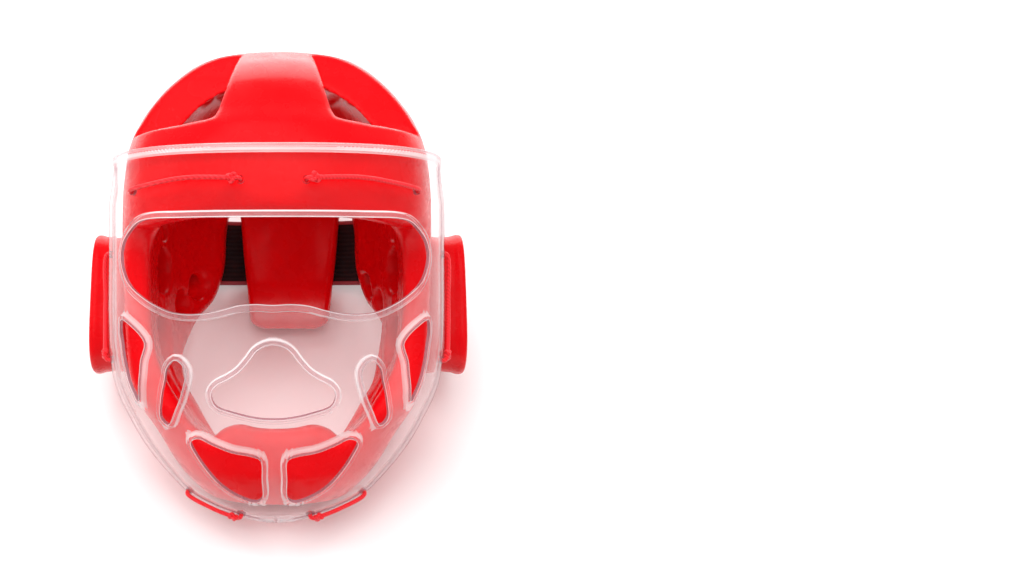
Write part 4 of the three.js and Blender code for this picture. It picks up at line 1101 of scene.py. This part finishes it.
def stepped(flat, distance):
    """An outline moved to its left by a true distance on the bent sheet"""
    u, v = (np.roll(flat, -1, axis=0) - np.roll(flat, 1, axis=0)).T
    e, f, g = surface_metric(flat)
    away = np.column_stack([g * -v - f * u, e * u - f * -v])
    size = np.sqrt(e * away[:, 0] ** 2 + 2 * f * away[:, 0] * away[:, 1] + g * away[:, 1] ** 2)
    return flat + distance * away / size[:, None]


def turning_left(flat):
    after = np.roll(flat, -1, axis=0)
    area = (flat[:, 0] * after[:, 1] - after[:, 0] * flat[:, 1]).sum()
    return flat if area > 0 else flat[::-1]


def sheet_outline():
    """The sheet's own edge, its two top corners rounded"""
    turn = np.linspace(0, math.pi / 2, 24)
    corner_arc = ARC_END - SHIELD_CORNER * (1 - np.cos(turn))
    corner_z = SHEET_TOP - SHIELD_CORNER * (1 - np.sin(turn))
    side_z = np.linspace(-SHIELD_DROP, SHEET_TOP - SHIELD_CORNER, 500)[:-1]
    side = np.column_stack([np.full_like(side_z, ARC_END), side_z])
    right = np.vstack([side, np.column_stack([corner_arc, corner_z])])
    bottom_arc = np.linspace(-ARC_END, ARC_END, 60)[1:-1]
    bottom = np.column_stack([bottom_arc, np.full_like(bottom_arc, -SHIELD_DROP)])
    top_arc = np.linspace(ARC_END - SHIELD_CORNER, SHIELD_CORNER - ARC_END, 300)[1:-1]
    top = np.column_stack([top_arc, np.full_like(top_arc, SHEET_TOP)])
    return np.vstack([bottom, right, top, right[::-1] * (-1, 1)])


def whole(rows):
    """A half outline joined to its mirror image"""
    side = np.concatenate([rows["side"], -rows["side"][-2:0:-1]])
    level = np.concatenate([rows["level"], rows["level"][-2:0:-1]])
    return {"side": side, "level": level}


def lace_hole(rows, end, mirror):
    """A round hole for a lace at one end of its row"""
    flat = flat_points({"side": rows["side"][[end]], "level": rows["level"][[end]]}, mirror)
    e, _, g = surface_metric(flat)
    turn = np.linspace(0, 2 * math.pi, 16, endpoint=False)
    ring = np.column_stack([np.cos(turn) / np.sqrt(e), np.sin(turn) / np.sqrt(g)])
    return flat + LACE_HOLE_RADIUS * ring


def shield_openings():
    """Each opening's evened flat outline, with how wide the raised rim round it is"""
    loops = [(flat_points(whole(EYE_OUTLINE)), EYE_RIM), (flat_points(whole(NOSE_OUTLINE)), OTHER_RIM)]
    for mirror in (1, -1):
        for outline in (CHEEK_OUTLINE, SLOT_OUTLINE, CHIN_OUTLINE):
            loops.append((flat_points(outline, mirror), OTHER_RIM))
    loops = [(turning_left(curve_through(flat, closed=True)), rim) for flat, rim in loops]
    return [(evened(flat, SHIELD_SPACING), rim) for flat, rim in loops]


def edge_tree(loops):
    """Close points along the sheet's edges, to measure from, and how wide the rim at each is"""
    tree = KDTree(200000)
    rims = []
    for flat, rim in loops:
        for point in shield_surface(*evened(flat, 0.4).T):
            tree.insert(point, len(rims))
            rims.append(rim)
    tree.balance()
    return tree, np.array(rims)


def sheet_grid():
    """An even grid over the flat sheet, its levels spaced as they lie on the bent one"""
    count = 3 * round((SHIELD_TOP_LEVEL + SHIELD_DROP) / SHIELD_GRID)
    rows = np.linspace(-SHIELD_DROP, SHIELD_TOP_LEVEL, count)
    run = runs(shield_surface(np.full_like(rows, ARC_END / 2), rows))
    levels = np.interp(np.arange(0, run[-1], SHIELD_GRID), run, rows)
    arcs = np.arange(-ARC_END, ARC_END, SHIELD_GRID)
    return np.stack(np.meshgrid(arcs, levels), axis=-1).reshape(-1, 2)


def within(border, loops, flat, clearance=0.0):
    """Which flat points lie inside the border and outside the other loops"""
    inside = outline_distance(border, *flat.T) < 0
    for loop in loops:
        inside &= outline_distance(loop, *flat.T) > clearance
    return inside


def inner_points(border, loops, holes, tree):
    """Rings of points along the sheet's edges and round its lace holes, and a grid between"""
    rings = [(stepped(border, distance), distance) for distance in RIM_RINGS]
    rings += [(stepped(flat, -distance), distance) for flat in loops for distance in RIM_RINGS]
    near = [ring for ring, _ in rings]
    around = [stepped(flat, -distance) for flat in holes for distance in HOLE_RINGS]
    grid = sheet_grid()
    least = [np.full(len(ring), 0.88 * distance) for ring, distance in rings]
    least += [np.full(len(grid), GRID_CLEARANCE)]
    least += [np.zeros(len(ring)) for ring in around]
    spare = np.vstack([*near, grid, *around])
    inside = within(border, loops, spare) & within(border, holes, spare, 0.3)
    away = np.array([tree.find(point)[2] for point in shield_surface(*spare.T)])
    return spare[inside & (away > np.concatenate(least))]


def flat_sheet():
    """Flat points and triangles, with how far each point is raised and how far from an edge"""
    border = evened(sheet_outline(), SHIELD_SPACING)
    openings = shield_openings()
    loops = [flat for flat, _ in openings]
    holes = [
        turning_left(lace_hole(rows, end, mirror))
        for rows in LACES.values()
        for end in (0, -1)
        for mirror in (1, -1)
    ]
    tree, rims = edge_tree([(border, EYE_RIM), *openings])
    edges = []
    start = 0
    for loop in (border, *loops, *holes):
        edges += [(start + k, start + (k + 1) % len(loop)) for k in range(len(loop))]
        start += len(loop)
    points = np.vstack([border, *loops, *holes, inner_points(border, loops, holes, tree)])
    flat, _, triangles, *_ = delaunay_2d_cdt([Vector(p) for p in points.tolist()], edges, [], 0, 1e-6)
    flat = np.array([tuple(p) for p in flat])
    triangles = np.array(triangles)
    centre = flat[triangles].mean(axis=1)
    triangles = triangles[within(border, loops + holes, centre)]
    found = [tree.find(point) for point in shield_surface(*flat.T)]
    away = np.array([distance for _, _, distance in found])
    rim = rims[[index for _, index, _ in found]]
    slope = np.clip((away - rim) / STEP_RUN, 0, 1)
    raised = STEP_HEIGHT * (1 - eased(slope)) - SHEET_SINK
    return flat, triangles, raised, away


def make_shield(looks):
    """The sheet, with its raised rims, their steps and its cut edges in looks of their own: a painted
    highlight on the steps and edges, painted shade on the cut walls
    """
    flat, triangles, raised, away = flat_sheet()
    middle = shield_surface(*flat.T)
    normal = shield_normal(middle)
    outer = middle + normal * (raised + SHIELD_THICKNESS / 2)[:, None]
    inner = middle + normal * (raised - SHIELD_THICKNESS / 2)[:, None]
    first, second, third = (outer[triangles[:, k]] for k in range(3))
    facing = np.cross(second - first, third - first)
    wrong = (facing * normal[triangles[:, 0]]).sum(axis=1) < 0
    triangles[wrong] = triangles[wrong][:, ::-1]
    count = len(flat)
    sides = np.vstack([triangles[:, [k, (k + 1) % 3]] for k in range(3)])
    key = np.sort(sides, axis=1) @ (count, 1)
    _, where, times = np.unique(key, return_index=True, return_counts=True)
    rim = sides[where[times == 1]]
    walls = np.column_stack([rim[:, ::-1], rim + count])
    faces = [*triangles.tolist(), *(triangles[:, ::-1] + count).tolist(), *walls.tolist()]
    on_step = np.ptp(raised[triangles], axis=1) > 0.15 * STEP_HEIGHT
    on_rim = raised[triangles].min(axis=1) > STEP_HEIGHT - SHEET_SINK - 0.05
    at_edge = away[triangles].max(axis=1) < 0.6
    # Steps and edges take the white veil of a painted highlight. Cut walls below the top take the dark
    # tint of painted shade.
    part = np.select([on_step | at_edge, on_rim], [HIGHLIGHT_LOOK, RIM_LOOK], FLAT_LOOK)
    wall_part = np.where(flat[rim, 1].min(axis=1) > SHEET_TOP - 1, HIGHLIGHT_LOOK, CUT_SHADE_LOOK)
    slots = np.concatenate([part, part, wall_part])
    points = np.vstack([outer, inner])
    piece = new_piece("face_shield_sheet", points, faces, looks, slots, sharp=math.radians(50))
    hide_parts("face_shield")


# Tubes, laces and the strap

def row_quads(count, width, closed, round_rows):
    """Quads between rows of points, which may close on the first row and each on itself"""
    row = np.arange(count if closed else count - 1)[:, None]
    column = np.arange(width if round_rows else width - 1)
    low, high = row * width, (row + 1) % count * width
    after = (column + 1) % width
    return np.stack([low + column, low + after, high + after, high + column], axis=-1).reshape(-1, 4)


def tube(path, radius, sides=10, closed=False):
    """Points and quads of a round tube along a path, its open ends drawn in"""
    path = np.asarray(path)
    if closed:
        along = np.roll(path, -1, axis=0) - np.roll(path, 1, axis=0)
    else:
        along = np.gradient(path, axis=0)
    along = unit(along)
    across = np.cross(along[0], (0.3, 0.5, 0.8))
    rings = []
    for place, tangent in zip(path, along):
        across = across - tangent * (across @ tangent)
        across /= np.linalg.norm(across)
        other = np.cross(tangent, across)
        turn = np.linspace(0, 2 * math.pi, sides, endpoint=False)[:, None]
        rings.append(place + radius * (np.cos(turn) * across + np.sin(turn) * other))
    if not closed:
        rings[0] = path[0] + 0.25 * (rings[0] - path[0])
        rings[-1] = path[-1] + 0.25 * (rings[-1] - path[-1])
    return np.vstack(rings), row_quads(len(path), sides, closed, True)


def merged(parts):
    """Several meshes as one"""
    starts = np.cumsum([0] + [len(points) for points, _ in parts])
    faces = [faces + start for (_, faces), start in zip(parts, starts)]
    return np.vstack([points for points, _ in parts]), np.vstack(faces)


def knot_path(centre, along, normal, size):
    """An overhand knot pulled flat against what it lies on"""
    turn = np.linspace(0, 2 * math.pi, 60, endpoint=False)[:, None]
    side = np.cross(normal, along)
    run = (np.sin(turn) + 2 * np.sin(2 * turn)) / 3
    wide = (np.cos(turn) - 2 * np.cos(2 * turn)) / 3
    high = -np.sin(3 * turn)
    return centre + size * (run * along + wide * side) + LACE_RADIUS * 0.8 * high * normal


def make_lace(place, rows, side_name, mirror, look):
    flat = flat_points(rows, mirror)
    ground = shield_surface(flat[:, 0], flat[:, 1])
    normal = shield_normal(ground)
    lying = ground + normal * (SHIELD_THICKNESS / 2 + LACE_RADIUS + LACE_GAP)
    knot_share = KNOT_SETBACK / np.linalg.norm(lying[-1] - lying[-2])
    knot = lying[-1] + (lying[-2] - lying[-1]) * knot_share + normal[-1] * KNOT_LIFT
    along = (lying[-1] - lying[-2]) / np.linalg.norm(lying[-1] - lying[-2])
    dive = [ground[0] - normal[0] * LACE_DIVE, ground[0] + normal[0] * LACE_BEND]
    rise = [ground[-1] + normal[-1] * LACE_BEND, ground[-1] - normal[-1] * LACE_DIVE]
    way = np.vstack([dive, lying[1:-1], [knot, knot + along * KNOT_RUN_OUT], rise])
    path = curve_through(way, closed=False, steps=10)
    loop = knot_path(knot, along, normal[-1], KNOT_SIZE)
    points, faces = merged([tube(path, LACE_RADIUS), tube(loop, 0.85 * LACE_RADIUS, closed=True)])
    piece = new_piece(f"{place}_lace_{side_name}_cord", points, faces, [look])
    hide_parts(f"{place}_lace_{side_name}")


def strap_line(z):
    """The strap's middle line at one level, its ends turned in through their slots"""
    lift = STRAP_EASE + STRAP_THICKNESS / 2
    section = {name: float(value) for name, value in foam_section(np.array(float(z)), lift).items()}
    depth = section["back"] - section["middle"]
    square = section["square_back"]
    start = math.acos(((STRAP_SLOT_Y - section["middle"]) / depth) ** (square / 2))
    angle = np.linspace(math.pi - start, math.pi + start, 90)
    sine, cosine = np.sin(angle), np.cos(angle)
    x = section["half"] * powered(sine, 2 / square)
    y = section["middle"] + depth * np.abs(cosine) ** (2 / square)
    tab = np.linspace(STRAP_TAB, 0, 6)[:-1]
    x = np.concatenate([x[0] - np.sign(x[0]) * tab, x, x[-1] - np.sign(x[-1]) * tab[::-1]])
    y = np.concatenate([np.full(5, STRAP_SLOT_Y), y, np.full(5, STRAP_SLOT_Y)])
    return np.column_stack([x, y])


def strap_levels():
    """Levels across the strap, closer along its rounded selvedges, and its thickness at each"""
    fold = np.linspace(0, math.pi / 2, 4)
    rise = SELVEDGE_ROUND * (1 - np.sin(fold))[::-1]
    flat = np.linspace(SELVEDGE_ROUND, STRAP_WIDTH - SELVEDGE_ROUND, 26)[1:-1]
    low = STRAP_LOW_LEVEL + rise
    high = STRAP_LOW_LEVEL + STRAP_WIDTH - (low[::-1] - STRAP_LOW_LEVEL)
    levels = np.concatenate([low, flat + STRAP_LOW_LEVEL, high])
    inset = np.minimum(levels - STRAP_LOW_LEVEL, STRAP_LOW_LEVEL + STRAP_WIDTH - levels)
    swell = np.sqrt(np.clip(1 - (1 - np.minimum(inset / SELVEDGE_ROUND, 1)) ** 2, 0.04, 1))
    return levels, swell * STRAP_THICKNESS


def make_strap(body_look, edge_look):
    """Elastic webbing with rounded selvedges"""
    outer = []
    inner = []
    levels, thicknesses = strap_levels()
    for z, thickness in zip(levels, thicknesses):
        line = strap_line(z)
        into = np.diff(line, axis=0, prepend=line[:1] - (line[1:2] - line[:1]))
        out = np.diff(line, axis=0, append=line[-1:] + (line[-1:] - line[-2:-1]))
        before, after = (unit(np.column_stack([v[:, 1], -v[:, 0]])) for v in (into, out))
        mitre = unit(before + after)
        reach = thickness / 2 / np.maximum((mitre * before).sum(axis=1), 0.5)
        for side, sign in ((outer, 1), (inner, -1)):
            shifted = line + sign * mitre * reach[:, None]
            side.append(np.column_stack([shifted, np.full(len(line), z)]))
    rings = np.array(outer + inner[::-1])
    count, width = rings.shape[:2]
    body = row_quads(count, width, True, False)[:, [0, 3, 2, 1]]
    k = np.arange(count // 2 - 1)
    caps = width * np.column_stack([k, k + 1, count - 2 - k, count - 1 - k])
    faces = np.vstack([body, caps[:, ::-1], caps + width - 1])
    around = np.concatenate([levels, levels[::-1]])
    middle = (around + np.roll(around, -1)) / 2 - STRAP_LOW_LEVEL
    slots = np.zeros(len(faces), int)
    slots[: len(body)] = np.repeat(np.minimum(middle, STRAP_WIDTH - middle) < SELVEDGE, width - 1)
    looks = [body_look, edge_look]
    piece = new_piece("rear_strap_webbing", rings.reshape(-1, 3), faces, looks, slots)
    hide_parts("rear_strap")


# Camera, lights and floor

def make_camera():
    data = bpy.data.cameras.new("photo_camera")
    data.sensor_width = 36
    data.lens = LENS
    data.shift_x = LENS_SHIFT
    data.clip_start = 0.01
    camera = new_object("photo_camera", data)
    turn = Matrix.Rotation(EYE_TURN, 4, "Z")
    camera.matrix_world = LEAN @ turn @ Matrix.Rotation(math.pi / 2, 4, "X")
    camera.location = ROW @ turn @ Vector((0, -EYE_DISTANCE, EYE_LEVEL))
    bpy.context.scene.camera = camera


def softbox(name, place, size, power, mirrored):
    """An area light aimed at the headgear"""
    data = bpy.data.lights.new(name, "AREA")
    data.shape = "RECTANGLE"
    data.size, data.size_y = size
    data.energy = power
    light = new_object(name, data)
    location = ROW @ Vector(place)
    target = ROW @ Vector((0, 0, 0))
    light.location = location
    light.rotation_euler = (target - location).to_track_quat("-Z", "Y").to_euler()
    light.visible_glossy = mirrored


def make_studio():
    for lamp in LAMPS:
        softbox(*lamp)
    world = bpy.data.worlds.new("studio")
    world.use_nodes = True
    backdrop = world.node_tree.nodes["Background"]
    backdrop.inputs["Color"].default_value = STUDIO_TINT
    backdrop.inputs["Strength"].default_value = STUDIO_STRENGTH
    bpy.context.scene.world = world
    bpy.context.scene.view_settings.view_transform = "Standard"
    mesh = bpy.data.meshes.new("floor")
    corners = [(-1, -1), (1, -1), (1, 1), (-1, 1)]
    mesh.from_pydata([(x * FLOOR_REACH, y * FLOOR_REACH, 0) for x, y in corners], [], [(0, 1, 2, 3)])
    mesh.materials.append(floor_paint("pale_floor"))
    new_object("floor", mesh)


make_camera()
# The last colour of each skin is the paler red of the painted highlight along its sharp edges
foam_skin = dipped_skin("red_dipped_skin", (0.74, 0.001, 0.004), (0.82, 0.002, 0.006), (1.0, 0.12, 0.13))
pod_skin = dipped_skin("red_pod_skin", (0.66, 0.001, 0.004), (0.74, 0.002, 0.006), (1.0, 0.12, 0.13))
make_foam(foam_skin)
make_pods(pod_skin)
make_shield([clear_sheet(*look) for look in SHEET_LOOKS])
lace_look = braided_cord("red_lace", (0.72, 0.004, 0.010), (0.92, 0.03, 0.04))
for lace_place, lace_rows in LACES.items():
    for lace_side, lace_mirror in (("left", 1), ("right", -1)):
        make_lace(lace_place, lace_rows, lace_side, lace_mirror, lace_look)
strap_body = webbing("black_elastic", (0.008, 0.008, 0.009), (0.022, 0.022, 0.024), 0.15)
strap_edge = webbing("red_selvedge", (0.30, 0.05, 0.07), (0.42, 0.10, 0.12), 0.2)
make_strap(strap_body, strap_edge)
make_studio()
